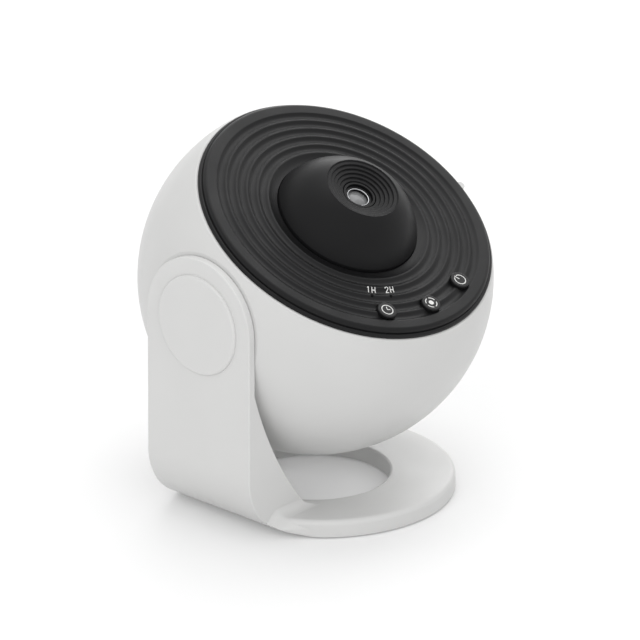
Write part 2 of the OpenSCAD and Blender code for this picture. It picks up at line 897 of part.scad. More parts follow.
module chassis() {
  color("slategray") head_frame() difference() {
    union() {
      bar(deck_r, deck_low, deck_top);
      intersection() {
        bar(roof_r, deck_top - e, roof_top);
        union() {
          for (side = [-1, 1])
            translate([-ball_r, side * (guide_in + guide_w / 2) - guide_w / 2, deck_top - e])
              cube([2 * ball_r, guide_w, roof_top - deck_top + e]);
          translate([-ball_r, -guide_out, roof_low])
            cube([2 * ball_r, 2 * guide_out, roof_t]);
        }
      }
      difference() {
        bar(tube_r, tube_low, deck_low + e);
        bar(condenser_r - condenser_seat, tube_low - e, condenser_low + e);
      }
      at_board_screws() bar(board_post_r, deck_top - e, switch_board_top - switch_board_t);
    }
    bar(condenser_r + seat_air, condenser_low, deck_top + e);
    bar(roof_hole_r, roof_low - e, roof_top + e);
    at_posts() bar(post_hole_r + screw_air, deck_low - e, deck_top + e);
    at_board_screws() bar(board_screw_r + screw_air, deck_low - e, ball_r);
    for (side = [-1, 1])
      translate([side * pin_circle, 0, 0]) bar(pin_r + screw_air, roof_low - e, roof_top + e);
    at_sink_screws() bar(sink_screw_r + screw_air, tube_low - e, tube_low + sink_thread + 2 * e);
    // shaft and ears of the motor
    translate([-pinion_x, 0, 0]) bar(shaft_hole_r, deck_low - e, deck_top + e);
    for (side = [-1, 1])
      translate([-pinion_x, side * motor_ear, 0])
        bar(board_screw_r + screw_air, deck_low - e, deck_top + e);
  }
}

module chassis_screws() {
  color("silver") head_frame() at_posts() translate([0, 0, deck_top])
    screw(post_hole_r, screw_len, head_screw_r, head_screw_t);
}

module guide_pins() {
  color("silver") head_frame() for (side = [-1, 1])
    translate([side * pin_circle, 0, 0]) bar(pin_r, roof_low, pin_top);
}

// A lens with one flat side and one domed side, flat side down
module flat_lens(r, edge, t) {
  swell = t - edge;
  sphere_r = (r * r + swell * swell) / (2 * swell);
  rotate_extrude() intersection() {
    square([r, t]);
    translate([0, t - sphere_r]) circle(r = sphere_r, $fn = 240);
  }
}

module condenser_lens() {
  color("lightblue") head_frame() translate([0, 0, condenser_low])
    flat_lens(condenser_r, condenser_edge, condenser_h);
}

module led_board() {
  color("white") head_frame() bar(led_board_r, tube_low, tube_low + led_board_t);
}

module led_emitter() {
  color("khaki") head_frame() translate([0, 0, tube_low + led_board_t]) {
    translate([-led_w / 2, -led_w / 2, 0]) cube([led_w, led_w, led_t]);
    intersection() {
      translate([0, 0, led_t]) sphere(r = led_dome_r);
      bar(led_w, led_t / 2, led_t + led_w);
    }
  }
}

module heat_sink() {
  color("silver") head_frame() difference() {
    union() {
      bar(sink_r, tube_low - sink_t, tube_low);
      intersection() {
        bar(sink_r, tube_low - sink_t - fin_h, tube_low - sink_t + e);
        for (i = [0 : sink_fins - 1])
          let (y = (i - (sink_fins - 1) / 2) * 2 * (sink_r - fin_inset) / (sink_fins - 1))
            translate([-sink_r, y - fin_t / 2, tube_low - sink_t - fin_h])
              cube([2 * sink_r, fin_t, fin_h + e]);
      }
    }
    at_sink_screws() bar(sink_screw_r + screw_air, tube_low - sink_t - e, tube_low + e);
    at_sink_screws()
      bar(sink_head_r + 2 * head_air, tube_low - sink_t - fin_h - e, tube_low - sink_t);
  }
}

module heat_sink_screws() {
  color("dimgray") head_frame() at_sink_screws()
    translate([0, 0, tube_low - sink_t]) mirror([0, 0, 1])
      screw(sink_screw_r, sink_t + sink_thread, sink_head_r, sink_head_t);
}

module drive_motor() {
  color("silver") head_frame() translate([-pinion_x, 0, 0]) difference() {
    union() {
      bar(motor_r, deck_low - motor_h, deck_low);
      translate([0, 0, deck_low - motor_plate_t]) linear_extrude(motor_plate_t) {
        square(2 * [motor_ear_r, motor_ear], center = true);
        for (side = [-1, 1]) translate([0, side * motor_ear]) circle(r = motor_ear_r);
      }
    }
    bar(shaft_r + shaft_air, deck_low - shaft_depth - e, deck_low + e);
    for (side = [-1, 1]) translate([0, side * motor_ear, 0])
      bar(board_screw_r + screw_air, 0, deck_low + e);
  }
}

module motor_screws() {
  color("dimgray") head_frame() for (side = [-1, 1])
    translate([-pinion_x, side * motor_ear, deck_low - motor_plate_t]) mirror([0, 0, 1])
      screw(board_screw_r, motor_plate_t + deck_t - head_air, board_head_r, board_head_t);
}

module drive_pinion() {
  color("ivory") head_frame() translate([-pinion_x, 0, 0]) {
    translate([0, 0, disc_low]) rotate([0, 0, 180 / pinion_teeth])
      gear(pinion_teeth, pinion_pitch_r, disc_t);
    bar(shaft_r, deck_low - shaft_depth, disc_low + e);
  }
}

module switch_board() {
  color("seagreen") head_frame()
    translate([0, 0, switch_board_top - switch_board_t]) linear_extrude(switch_board_t)
      difference() {
        intersection() {
          circle(r = spigot_r - spigot_wall - air);
          translate([-board_half, -ball_r]) square([2 * board_half, ball_r - guide_out - air]);
        }
        at_board_screws() circle(r = board_screw_r + screw_air);
        at_posts() circle(r = head_screw_r + air);
      }
}

module board_screws() {
  color("silver") head_frame() at_board_screws() translate([0, 0, switch_board_top])
    screw(board_screw_r, switch_board_t + board_thread, board_head_r, board_head_t);
}

module tact_switches() {
  color("#404040") head_frame() for (i = [-1 : 1])
    at_button(i) translate([0, 0, switch_board_top]) {
      translate([-switch_w / 2, -switch_w / 2, 0]) cube([switch_w, switch_w, switch_h]);
      bar(plunger_r, switch_h - e, switch_h + plunger_h);
    }
}

module indicator_lights() {
  color("lightcyan") head_frame() for (i = [0 : 1])
    at_light(i) bar(light_r, rim_level, light_top);
}

module main_board() {
  color("seagreen") head_frame() inlet_frame() difference() {
    translate([-main_board_w / 2, -main_board_t / 2, main_board_near])
      cube([main_board_w, main_board_t, main_board_far - main_board_near]);
    for (side = [-1, 1]) translate([side * main_screw_x, 0, main_screw_y])
      rotate([90, 0, 0])
        cylinder(r = board_screw_r + screw_air, h = main_board_t + 2 * e, center = true);
  }
}

module main_board_screws() {
  color("silver") head_frame() inlet_frame() for (side = [-1, 1])
    translate([side * main_screw_x, -main_board_t / 2, main_screw_y]) rotate([90, 0, 0])
      screw(board_screw_r, main_board_t + main_thread, board_head_r, board_head_t);
}

module usb_socket() {
  color("silver") head_frame() inlet_frame() translate([0, 0, inlet_face - inlet_depth]) {
    difference() {
      linear_extrude(inlet_depth) slot(inlet_w, inlet_h);
      translate([0, 0, socket_back]) linear_extrude(inlet_depth)
        slot(inlet_w - 2 * socket_wall, inlet_h - 2 * socket_wall);
    }
    translate([tongue_inset - inlet_w / 2, -tongue_t / 2, e])
      cube([inlet_w - 2 * tongue_inset, tongue_t, inlet_depth - tongue_sink - e]);
  }
}

// The three buttons

module button(i) {
  color("#303032") head_frame() at_button(i) rotate_extrude() {
    translate([0, button_flange_top - button_flange_t])
      square([button_r + button_flange, button_flange_t]);
    translate([0, button_flange_top - e])
      corner_square(button_r, button_top - button_flange_top + e, button_round);
  }
}

module power_button() {
  button(1);
}

module rotate_button() {
  button(0);
}

module timer_button() {
  button(-1);
}

// The tray and what it carries

module disc_tray() {
  color("whitesmoke") head_frame() {
    difference() {
      intersection() {
        sphere(r = ball_r - tray_flush, $fn = 180);
        translate([-tray_rear, -tray_half_w, tray_low])
          cube([ball_r + tray_rear, 2 * tray_half_w, tray_t]);
      }
      bar(pocket_r, tray_low + pocket_ledge, tray_high + e);
      bar(light_hole_r, tray_low - e, tray_high);
      // way in for the pinion
      translate([-ball_r, -pinion_tip_r - air, tray_low - e])
        cube([ball_r - pinion_x, 2 * (pinion_tip_r + air), tray_t + 2 * e]);
      translate([-pinion_x, 0, 0]) bar(pinion_tip_r + air, tray_low - e, tray_high + e);
    }
    translate([0, tab_shift, tray_level - tab_t / 2]) {
      translate([ball_r - tab_root, -tab_w / 2, 0])
        cube([tab_reach - tab_w / 2 - ball_r + tab_root, tab_w, tab_t]);
      translate([tab_reach - tab_w / 2, 0, 0]) cylinder(r = tab_w / 2, h = tab_t);
    }
  }
}

module disc_gear() {
  color("ivory") head_frame() difference() {
    translate([0, 0, disc_low]) gear(disc_teeth, disc_pitch_r, disc_t);
    bar(film_hole_r, disc_low - e, disc_low + disc_t + e);
    bar(film_r + film_air, disc_low + disc_t - film_t, disc_low + disc_t + e);
  }
}

module film_disc() {
  color("midnightblue") head_frame()
    bar(film_r, disc_low + disc_t - film_t, disc_low + disc_t);
}

// The dome and the lens barrel inside it

module dome() {
  color("#262628") head_frame() rotate_extrude($fn = 180) {
    difference() {
      intersection() {
        translate([0, dome_level]) circle(r = dome_r, $fn = 240);
        translate([0, dome_flange_low]) square([dome_skirt_r, crater_top - dome_flange_low]);
      }
      // hollow over the barrel's flange, bore of the barrel, hole of its nose
      translate([-e, dome_flange_low - e])
        square([dome_hollow_r + e, dome_hollow_top - dome_flange_low + e]);
      translate([-e, dome_flange_low]) square([barrel_r + slide_air + e, dome_roof - dome_flange_low]);
      translate([-e, dome_flange_low]) square([aperture_r + e, dome_r * 2]);
      // stepped crater
      for (i = [0 : crater_steps - 1])
        translate([-e, crater_floor + i * crater_depth / crater_steps])
          square([aperture_r + (i + 1) * crater_step + e, dome_r]);
    }
    translate([dome_skirt_r - dome_skirt_t, dome_flange_low])
      square([dome_flange_w + dome_skirt_t, dome_flange_t]);
  }
}

module lens_barrel() {
  color("#1c1c1e") head_frame() difference() {
    rotate_extrude() difference() {
      union() {
        translate([0, barrel_low]) square([barrel_flange_r, barrel_flange_t]);
        translate([0, barrel_low]) square([barrel_r, barrel_shoulder - barrel_low]);
        translate([0, barrel_low]) square([nose_r, nose_top - barrel_low]);
      }
      translate([-e, barrel_low - e])
        square([rear_lens_r + seat_air + e, rear_top - barrel_low + e]);
      translate([-e, barrel_low])
        square([barrel_hollow_r + e, barrel_shoulder - barrel_cap_t - barrel_low]);
      translate([-e, barrel_low]) square([front_lens_r - front_lip + e, dome_r]);
      translate([-e, front_seat]) square([front_lens_r + lens_air + e, dome_r]);
      translate([-e, trim_top - trim_t]) square([front_lens_r + trim_w + e, dome_r]);
    }
    for (side = [-1, 1])
      translate([side * pin_circle, 0, 0]) bar(pin_r + slide_air, 0, ball_r);
  }
}

module front_lens() {
  color("lightsteelblue") head_frame() translate([0, 0, front_seat])
    flat_lens(front_lens_r, front_lens_edge, front_lens_t);
}

module lens_trim() {
  color("gray") head_frame()
    ring(front_lens_r + trim_w - lens_air, front_lens_r - trim_lap,
      trim_top - trim_t + lens_air, trim_top);
}

module rear_lens() {
  color("lightblue") head_frame() translate([0, 0, rear_top]) mirror([0, 0, 1])
    flat_lens(rear_lens_r, rear_lens_edge, rear_lens_t);
}

module lens_retainer() {
  color("#303032") head_frame()
    ring(rear_lens_r + lens_air, barrel_hollow_r, retaining_top - retaining_t, retaining_top);
}

stand();
base_cover();
base_screws();
foot_ring();
friction_washer();
pivot_cap();
shell();
pivot_hub();
hub_screws();
bezel();
dome_retainer();
retainer_screws();
chassis();
chassis_screws();
guide_pins();
condenser_lens();
led_board();
led_emitter();
heat_sink();
heat_sink_screws();
drive_motor();
motor_screws();
switch_board();
board_screws();
tact_switches();
indicator_lights();
main_board();
main_board_screws();
usb_socket();
power_button();
rotate_button();
timer_button();
disc_tray();
disc_gear();
film_disc();
drive_pinion();
dome();
lens_barrel();
front_lens();
lens_trim();
rear_lens();
lens_retainer();
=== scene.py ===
import math

import bmesh
import bpy
import numpy as np
from mathutils import Matrix, Vector


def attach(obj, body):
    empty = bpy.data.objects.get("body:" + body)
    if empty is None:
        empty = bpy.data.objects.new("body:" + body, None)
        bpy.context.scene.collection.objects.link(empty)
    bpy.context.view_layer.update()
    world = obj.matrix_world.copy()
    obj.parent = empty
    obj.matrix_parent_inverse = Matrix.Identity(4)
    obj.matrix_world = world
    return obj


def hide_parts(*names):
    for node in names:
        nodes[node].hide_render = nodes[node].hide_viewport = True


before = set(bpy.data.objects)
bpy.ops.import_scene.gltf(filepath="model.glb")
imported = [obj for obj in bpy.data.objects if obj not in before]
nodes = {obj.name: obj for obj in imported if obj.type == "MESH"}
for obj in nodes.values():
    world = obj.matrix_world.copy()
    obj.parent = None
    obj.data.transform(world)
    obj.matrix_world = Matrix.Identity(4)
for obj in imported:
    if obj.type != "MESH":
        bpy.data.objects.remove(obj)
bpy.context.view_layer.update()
scene = bpy.context.scene

# Sizes are in mm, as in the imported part; a level is a height along the optical axis
mm = 0.001
ball = {"x": -0.75, "y": -0.039, "z": 79.9, "tilt": 29.6, "rim": 29.3}
ballCentre = Vector((ball["x"], ball["y"], ball["z"])) * mm
headPlace = (
    Matrix.Translation(ballCentre)
    @ Matrix.Rotation(math.radians(ball["tilt"]), 4, "X")
    @ Matrix.Scale(mm, 4)
)
standPlace = Matrix.Translation((ball["x"] * mm, ball["y"] * mm, 0)) @ Matrix.Scale(mm, 4)

studio = {
    "azimuth": 46.93, "elevation": 22.81, "distance": 5502.2, "offset": (-1.61, 15.85),
    "lens": 848.9, "sensor": 36, "clip": (0.5, 60), "lampAim": (0, 0, 0.08),
    "skyFill": 0.70, "floorHalf": 8, "floorColor": 0.80, "floorRough": 0.9, "floorGlow": 0.15,
    "lamps": {
        "topLamp": {"at": (0.6, 0.3, 2.4), "size": (2.0, 2.0), "power": 18.5, "seenIn": "all"},
        "leftLamp": {"at": (-2.0, -0.6, 1.3), "size": (1.8, 1.8), "power": 14.5, "seenIn": "diffuse"},
        "frontLamp": {"at": (-0.9, -2.0, 1.1), "size": (1.6, 1.6), "power": 7.5, "seenIn": "diffuse"},
        "backLamp": {"at": (1.8, 1.2, 0.9), "size": (1.6, 1.0), "power": 11, "seenIn": "all"},
        "sheenLamp": {"at": (1.9, 0.2, 1.7), "size": (1.3, 1.3), "power": 5, "seenIn": "glossy"},
    },
}


def addNode(tree, kind, settings=None, **inputs):
    # inputs are values or sockets; an underscore stands for a space
    made = tree.nodes.new(kind)
    for key, value in (settings or {}).items():
        setattr(made, key, value)
    for key, value in inputs.items():
        feed(tree, made.inputs[key.replace("_", " ")], value)
    return made


def feed(tree, socket, value):
    if isinstance(value, bpy.types.NodeSocket):
        tree.links.new(value, socket)
    else:
        socket.default_value = value


def calc(tree, operation, *terms):
    made = addNode(tree, "ShaderNodeMath", {"operation": operation})
    for k, term in enumerate(terms):
        feed(tree, made.inputs[k], term)
    return made.outputs[0]


def remap(tree, value, fromLow, fromHigh, toLow, toHigh):
    made = addNode(tree, "ShaderNodeMapRange", Value=value)
    for key, term in zip(("From Min", "From Max", "To Min", "To Max"), (fromLow, fromHigh, toLow, toHigh)):
        feed(tree, made.inputs[key], term)
    return made.outputs[0]


def seenDirectly(tree):
    # 1 for what the camera, metal and glass see, 0 for what lights the object
    path = addNode(tree, "ShaderNodeLightPath")
    rays = calc(tree, "MAXIMUM", path.outputs["Is Camera Ray"], path.outputs["Is Glossy Ray"])
    return calc(tree, "MAXIMUM", rays, path.outputs["Is Transmission Ray"])


def addCamera():
    az, el = math.radians(studio["azimuth"]), math.radians(studio["elevation"])
    ahead = Vector((math.sin(az) * math.cos(el), math.cos(az) * math.cos(el), -math.sin(el)))
    right = ahead.cross(Vector((0, 0, 1))).normalized()
    up = right.cross(ahead)
    across, above = studio["offset"]
    data = bpy.data.cameras.new("camera")
    data.lens = studio["lens"]
    data.sensor_width = studio["sensor"]
    data.clip_start, data.clip_end = studio["clip"]
    cam = bpy.data.objects.new("camera", data)
    spot = ballCentre - (right * across + up * above + ahead * studio["distance"]) * mm
    cam.matrix_world = Matrix.Translation(spot) @ Matrix((right, up, -ahead)).transposed().to_4x4()
    scene.collection.objects.link(cam)
    scene.camera = cam


def addWorld():
    world = bpy.data.worlds.new("studio")
    world.use_nodes = True
    scene.world = world
    tree = world.node_tree
    back = tree.nodes["Background"]
    back.inputs["Color"].default_value = (1, 1, 1, 1)
    feed(tree, back.inputs["Strength"], remap(tree, seenDirectly(tree), 0, 1, studio["skyFill"], 1))


# A lamp lights both kinds of ray, or the dull or the glossy ones alone
def addLamp(name, at, size, power, seenIn):
    data = bpy.data.lights.new(name, "AREA")
    data.shape = "RECTANGLE"
    data.size, data.size_y = size
    data.energy = power
    lamp = bpy.data.objects.new(name, data)
    turn = (Vector(studio["lampAim"]) - Vector(at)).to_track_quat("-Z", "Y").to_matrix().to_4x4()
    lamp.matrix_world = Matrix.Translation(at) @ turn
    lamp.visible_glossy = seenIn != "diffuse"
    lamp.visible_diffuse = seenIn != "glossy"
    scene.collection.objects.link(lamp)


def addFloor():
    mesh = bpy.data.meshes.new("floor")
    s = studio["floorHalf"]
    mesh.from_pydata([(-s, -s, 0), (s, -s, 0), (s, s, 0), (-s, s, 0)], [], [(0, 1, 2, 3)])
    floor = bpy.data.objects.new("floor", mesh)
    scene.collection.objects.link(floor)
    mat = bpy.data.materials.new("floorPaper")
    mat.use_nodes = True
    tree = mat.node_tree
    paper = tree.nodes["Principled BSDF"]
    grey = studio["floorColor"]
    paper.inputs["Base Color"].default_value = (grey, grey, grey, 1)
    paper.inputs["Roughness"].default_value = studio["floorRough"]
    paper.inputs["Specular IOR Level"].default_value = 0.1
    shown = remap(tree, seenDirectly(tree), 0, 1, 0, studio["floorGlow"])
    glow = addNode(tree, "ShaderNodeEmission", Strength=shown)
    both = addNode(tree, "ShaderNodeAddShader")
    tree.links.new(paper.outputs[0], both.inputs[0])
    tree.links.new(glow.outputs[0], both.inputs[1])
    tree.links.new(both.outputs[0], tree.nodes["Material Output"].inputs["Surface"])
    mesh.materials.append(mat)


scene.view_settings.view_transform = "Standard"
addCamera()
addWorld()
addFloor()
for lampName, lamp in studio["lamps"].items():
    addLamp(lampName, **lamp)
print("camera, floor and lights are in place")


def shade(*rgb):
    # 0-255 as seen on screen, to the shader's linear colour
    out = [v / 3294.6 if v <= 10.3 else ((v / 255 + 0.055) / 1.055) ** 2.4 for v in rgb]
    return (out[0], out[1], out[2], 1)


def noiseOn(tree, scale, detail, stretch=(1, 1, 1)):
    coord = addNode(tree, "ShaderNodeTexCoord")
    place = addNode(tree, "ShaderNodeMapping", Vector=coord.outputs["Object"], Scale=stretch)
    noise = addNode(tree, "ShaderNodeTexNoise", Vector=place.outputs[0], Scale=scale, Detail=detail)
    return noise.outputs["Fac"]


# Moulded surface: a slow drift in shade, uneven gloss and a fine spark-eroded grain
def moulded(name, color, rough, drift=0.03, grain=0.25, grainHeight=0.012, gloss=0.5, stretch=(1, 1, 1)):
    mat = bpy.data.materials.new(name)
    mat.use_nodes = True
    tree = mat.node_tree
    bsdf = tree.nodes["Principled BSDF"]
    mix = addNode(tree, "ShaderNodeMix", {"data_type": "RGBA"})
    feed(tree, mix.inputs[0], remap(tree, noiseOn(tree, 38, 2), 0.3, 0.7, 0, 1))
    mix.inputs[6].default_value = tuple(c * (1 - drift) for c in color[:3]) + (1,)
    mix.inputs[7].default_value = tuple(min(1, c * (1 + drift)) for c in color[:3]) + (1,)
    feed(tree, bsdf.inputs["Base Color"], mix.outputs[2])
    feed(tree, bsdf.inputs["Roughness"], remap(tree, noiseOn(tree, 90, 4), 0.3, 0.7, rough[0], rough[1]))
    bump = addNode(tree, "ShaderNodeBump", Strength=0.6, Distance=grainHeight * mm,
                   Height=noiseOn(tree, 1000 / grain, 2, stretch))
    feed(tree, bsdf.inputs["Normal"], bump.outputs[0])
    bsdf.inputs["Specular IOR Level"].default_value = gloss
    return mat


def metal(name, color, rough, stretch):
    mat = moulded(name, color, rough, 0.04, 0.12, 0.006, 0.5, stretch)
    mat.node_tree.nodes["Principled BSDF"].inputs["Metallic"].default_value = 1
    return mat


def clear(name, color, rough, weight, ior=1.49):
    mat = bpy.data.materials.new(name)
    mat.use_nodes = True
    tree = mat.node_tree
    bsdf = tree.nodes["Principled BSDF"]
    bsdf.inputs["Base Color"].default_value = color
    bsdf.inputs["Transmission Weight"].default_value = weight
    bsdf.inputs["IOR"].default_value = ior
    feed(tree, bsdf.inputs["Roughness"], remap(tree, noiseOn(tree, 120, 3), 0.3, 0.7, rough[0], rough[1]))
    return mat


finish = {
    # The shell's white is the stand's white plastic painted five levels darker: painted shade on the ball and
    # the other white_plastic parts
    "shadedWhiteShell": moulded("shadedWhiteShell", shade(206, 206, 205), (0.34, 0.44), 0.010, 0.30, 0.006),
    "whiteStand": moulded("whiteStand", shade(211, 211, 210), (0.38, 0.48), 0.010, 0.30, 0.008),
    "coverPlastic": moulded("coverPlastic", shade(198, 198, 196), (0.5, 0.62), 0.02, 0.35, 0.015),
    "blackPlate": moulded("blackPlate", shade(16, 16, 17), (0.38, 0.48), 0.05, 0.28, 0.010, 0.22),
    "blackButton": moulded("blackButton", shade(18, 18, 19), (0.34, 0.44), 0.04, 0.25, 0.008, 0.24),
    "blackDome": moulded("blackDome", shade(18, 18, 19), (0.40, 0.50), 0.06, 0.30, 0.012, 0.17),
    "blackInner": moulded("blackInner", shade(26, 26, 27), (0.5, 0.6), 0.04, 0.30, 0.015, 0.3),
    "greyFrame": moulded("greyFrame", shade(84, 88, 92), (0.48, 0.6), 0.03, 0.4, 0.02),
    "gearPlastic": moulded("gearPlastic", shade(226, 220, 200), (0.3, 0.4), 0.02, 0.4, 0.008),
    "softRubber": moulded("softRubber", shade(46, 46, 47), (0.72, 0.86), 0.05, 0.5, 0.03, 0.3),
    "brightSteel": metal("brightSteel", shade(196, 197, 199), (0.22, 0.34), (1, 1, 8)),
    "castAluminium": metal("castAluminium", shade(206, 207, 209), (0.34, 0.5), (6, 1, 1)),
    "boardGreen": moulded("boardGreen", shade(24, 92, 60), (0.3, 0.45), 0.12, 0.8, 0.03),
    "ledYellow": moulded("ledYellow", shade(238, 222, 140), (0.2, 0.3), 0.04, 0.3, 0.006),
    "inkWhite": moulded("inkWhite", shade(226, 226, 224), (0.5, 0.6), 0.02, 0.2, 0.004),
    "lensGlass": clear("lensGlass", shade(236, 240, 244), (0.02, 0.05), 1.0),
    # The front lens is glass drawn with a grey, mostly opaque colour: painted reflection of the bright
    # surroundings
    "frontLens": clear("frontLens", shade(140, 141, 142), (0.08, 0.14), 0.25),
    "lightPipe": clear("lightPipe", shade(5, 5, 6), (0.5, 0.6), 0.1, 1.12),
    "starFilm": clear("starFilm", shade(28, 30, 44), (0.1, 0.2), 0.5),
}
slotFinish = {
    "white_plastic": "shadedWhiteShell", "cover_plastic": "coverPlastic", "black_plastic": "blackInner",
    "dome_plastic": "blackDome", "frame_plastic": "greyFrame", "gear_plastic": "gearPlastic",
    "rubber": "softRubber", "steel": "brightSteel", "aluminium": "castAluminium",
    "lens_glass": "lensGlass", "film": "starFilm", "board": "boardGreen", "led": "ledYellow",
    "light_pipe": "lightPipe",
}
nodeFinish = {"stand": "whiteStand", "pivot_cap": "whiteStand", "bezel": "blackPlate"}
for nodeName, obj in nodes.items():
    for i, old in enumerate(obj.data.materials):
        obj.data.materials[i] = finish[nodeFinish.get(nodeName, slotFinish[old.name.split(".")[0]])]
print("materials are made")


def addObject(name, mesh):
    obj = bpy.data.objects.new(name, mesh)
    scene.collection.objects.link(obj)
    return obj


def bakeModifiers(obj):
    graph = bpy.context.evaluated_depsgraph_get()
    mesh = bpy.data.meshes.new_from_object(obj.evaluated_get(graph))
    old = obj.data
    obj.modifiers.clear()
    obj.data = mesh
    mesh.name = obj.name
    bpy.data.meshes.remove(old)


def tidyMesh(mesh, join=1e-4):
    bm = bmesh.new()
    bm.from_mesh(mesh)
    bmesh.ops.remove_doubles(bm, verts=bm.verts, dist=join)
    bmesh.ops.recalc_face_normals(bm, faces=bm.faces)
    bm.to_mesh(mesh)
    bm.free()


# Smooth shading that keeps flat faces flat and corners crisp
def softShade(obj, angle=30):
    mesh = obj.data
    mesh.shade_smooth()
    mesh.set_sharp_from_angle(angle=math.radians(angle))
    weigh = obj.modifiers.new("weigh", "WEIGHTED_NORMAL")
    weigh.mode = "FACE_AREA"
    weigh.keep_sharp = True
    bakeModifiers(obj)


# Turns a list of (radius, level) points about the axis; returns vertices and faces
def revolve(profile, steps, closed=True):
    verts, faces, rows = [], [], []
    for r, z in profile:
        if r < 1e-6:
            rows.append([len(verts)] * steps)
            verts.append((0, 0, z))
        else:
            rows.append(list(range(len(verts), len(verts) + steps)))
            for k in range(steps):
                a = 2 * math.pi * k / steps
                verts.append((r * math.cos(a), r * math.sin(a), z))
    pairs = list(zip(rows, rows[1:]))
    if closed:
        pairs.append((rows[-1], rows[0]))
    for low, high in pairs:
        for k in range(steps):
            n = (k + 1) % steps
            ids = []
            for v in (low[k], low[n], high[n], high[k]):
                if v not in ids:
                    ids.append(v)
            if len(ids) > 2:
                faces.append(ids)
    return verts, faces


def meshFrom(name, verts, faces):
    mesh = bpy.data.meshes.new(name)
    mesh.from_pydata(verts, [], faces)
    tidyMesh(mesh)
    return mesh


# Points of a round that replaces one corner of a profile
def roundCorner(corner, before, after, radius, steps=5):
    c, a, b = (np.array(p, float) for p in (corner, before, after))
    u = (a - c) / np.linalg.norm(a - c)
    v = (b - c) / np.linalg.norm(b - c)
    half = math.acos(float(np.clip(u @ v, -1, 1))) / 2
    reach = radius / math.tan(half)
    centre = c + (u + v) / np.linalg.norm(u + v) * radius / math.sin(half)
    start, end = c + u * reach - centre, c + v * reach - centre
    turn = math.atan2(start[0] * end[1] - start[1] * end[0], start @ end)
    points = []
    for k in range(steps + 1):
        w = turn * k / steps
        x = start[0] * math.cos(w) - start[1] * math.sin(w)
        y = start[0] * math.sin(w) + start[1] * math.cos(w)
        points.append((centre[0] + x, centre[1] + y))
    return points


# Profile points are (radius, level) or (radius, level, round)
def softProfile(points):
    out = []
    for k, p in enumerate(points):
        if len(p) == 2 or p[2] == 0:
            out.append((p[0], p[1]))
        else:
            out += roundCorner(p[:2], points[k - 1][:2], points[(k + 1) % len(points)][:2], p[2])
    return out


def turned(name, points, steps, place, closed=True, angle=30):
    verts, faces = revolve(softProfile(points), steps, closed)
    obj = addObject(name, meshFrom(name, verts, faces))
    obj.data.transform(place)
    softShade(obj, angle)
    return obj


# Takes round rods out of a piece; each is (x, y, radius, low, high) in the piece's frame
def drill(obj, rods):
    verts, faces = [], []
    for x, y, radius, low, high in rods:
        v, f = revolve([(0, low), (radius, low), (radius, high), (0, high)], 48, closed=False)
        base = len(verts)
        verts += [(p[0] + x, p[1] + y, p[2]) for p in v]
        faces += [[i + base for i in face] for face in f]
    tool = addObject("drill", meshFrom("drill", verts, faces))
    cut = obj.modifiers.new("cut", "BOOLEAN")
    cut.operation = "DIFFERENCE"
    cut.solver = "EXACT"
    cut.object = tool
    bakeModifiers(obj)
    bpy.data.objects.remove(tool)


def dress(obj, body, look, slotName, *replaced):
    obj.data.materials.clear()
    obj.data.materials.append(finish[look])
    for poly in obj.data.polygons:
        poly.material_index = 0
    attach(obj, body)
    if replaced:
        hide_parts(*replaced)
    return obj


def polar(radius, degrees):
    a = math.radians(degrees)
    return radius * math.cos(a), radius * math.sin(a)


# Starts a Geometry Nodes tree; inputs is a list of (kind of socket, names)
def startTree(name, inputs):
    tree = bpy.data.node_groups.new(name, "GeometryNodeTree")
    for kind, labels in inputs:
        for label in labels:
            tree.interface.new_socket(label, in_out="INPUT", socket_type="NodeSocket" + kind)
    tree.interface.new_socket("Geometry", in_out="OUTPUT", socket_type="NodeSocketGeometry")
    return tree, addNode(tree, "NodeGroupInput").outputs


def closeTree(tree, geometry, material):
    real = addNode(tree, "GeometryNodeRealizeInstances", Geometry=geometry)
    coat = addNode(tree, "GeometryNodeSetMaterial", Geometry=real.outputs[0], Material=material)
    sink = addNode(tree, "NodeGroupOutput")
    tree.links.new(coat.outputs[0], sink.inputs[0])
    return tree


# Runs a tree once and returns its result as a plain mesh
def grow(name, tree, values, base=None):
    obj = addObject(name, base or bpy.data.meshes.new(name))
    made = obj.modifiers.new("grow", "NODES")
    made.node_group = tree
    for item in tree.interface.items_tree:
        if item.in_out == "INPUT" and item.name in values:
            made[item.identifier] = values[item.name]
    bpy.context.view_layer.update()
    graph = bpy.context.evaluated_depsgraph_get()
    mesh = bpy.data.meshes.new_from_object(obj.evaluated_get(graph))
    bpy.data.objects.remove(obj)
    return mesh


# The plate's ripples grow from a Geometry Nodes grid; its edge, collar and underside are turned
plate = {
    "boreR": 27.1, "innerCrestR": 31.2, "outerCrestR": 51.42, "grooves": 5, "grooveDepth": 0.72,
    "crestWidth": 0.3, "crestRound": 0.32, "crestRise": 0.3, "top": 32.7,
    "marginR": 55.92, "marginRound": 1.6,
    "collar": {"midR": 26.9, "midLevel": 39.72, "curve": 7.82, "endR": 30.9, "steps": 12, "round": 0.2},
    "ledgeR": 57.22, "ledgeTop": 30.8, "ledgeRound": 0.8,
    "jointW": 0.18, "jointDepth": 0.12, "jointRound": 0.12, "shadowW": 0.5, "shadowH": 0.14,
    "spigotR": 55.47, "spigotWall": 1.4, "spigotLow": 27.2, "spigotRound": 0.3,
    "hooks": 6, "hookIn": 54.97, "hookOut": 56.02, "hookTop": 28.0, "hookHalfAngle": 6, "hookSteps": 8,
    "screws": 3, "screwCircle": 31.4, "screwHoleR": 0.83, "screwHoleDepth": 1.9,
    "turnSteps": 360, "grooveSteps": 24, "join": 0.0005, "cutBelow": 0.5, "cutTop": 34,
}
buttons = {
    "radius": 3.7, "hole": 3.8, "circle": 46.82, "top": 33.7, "bevel": 0.45, "flange": 4.8,
    "flangeTop": 29.1, "flangeLow": 28.2, "flangeRound": 0.15, "turnSteps": 72,
    "angles": {"rotate": -90.0, "power": -65.5, "timer": -114.5},
}
lights = {"hole": 0.65, "circle": 39.37, "angles": (-108.1, -119.4)}


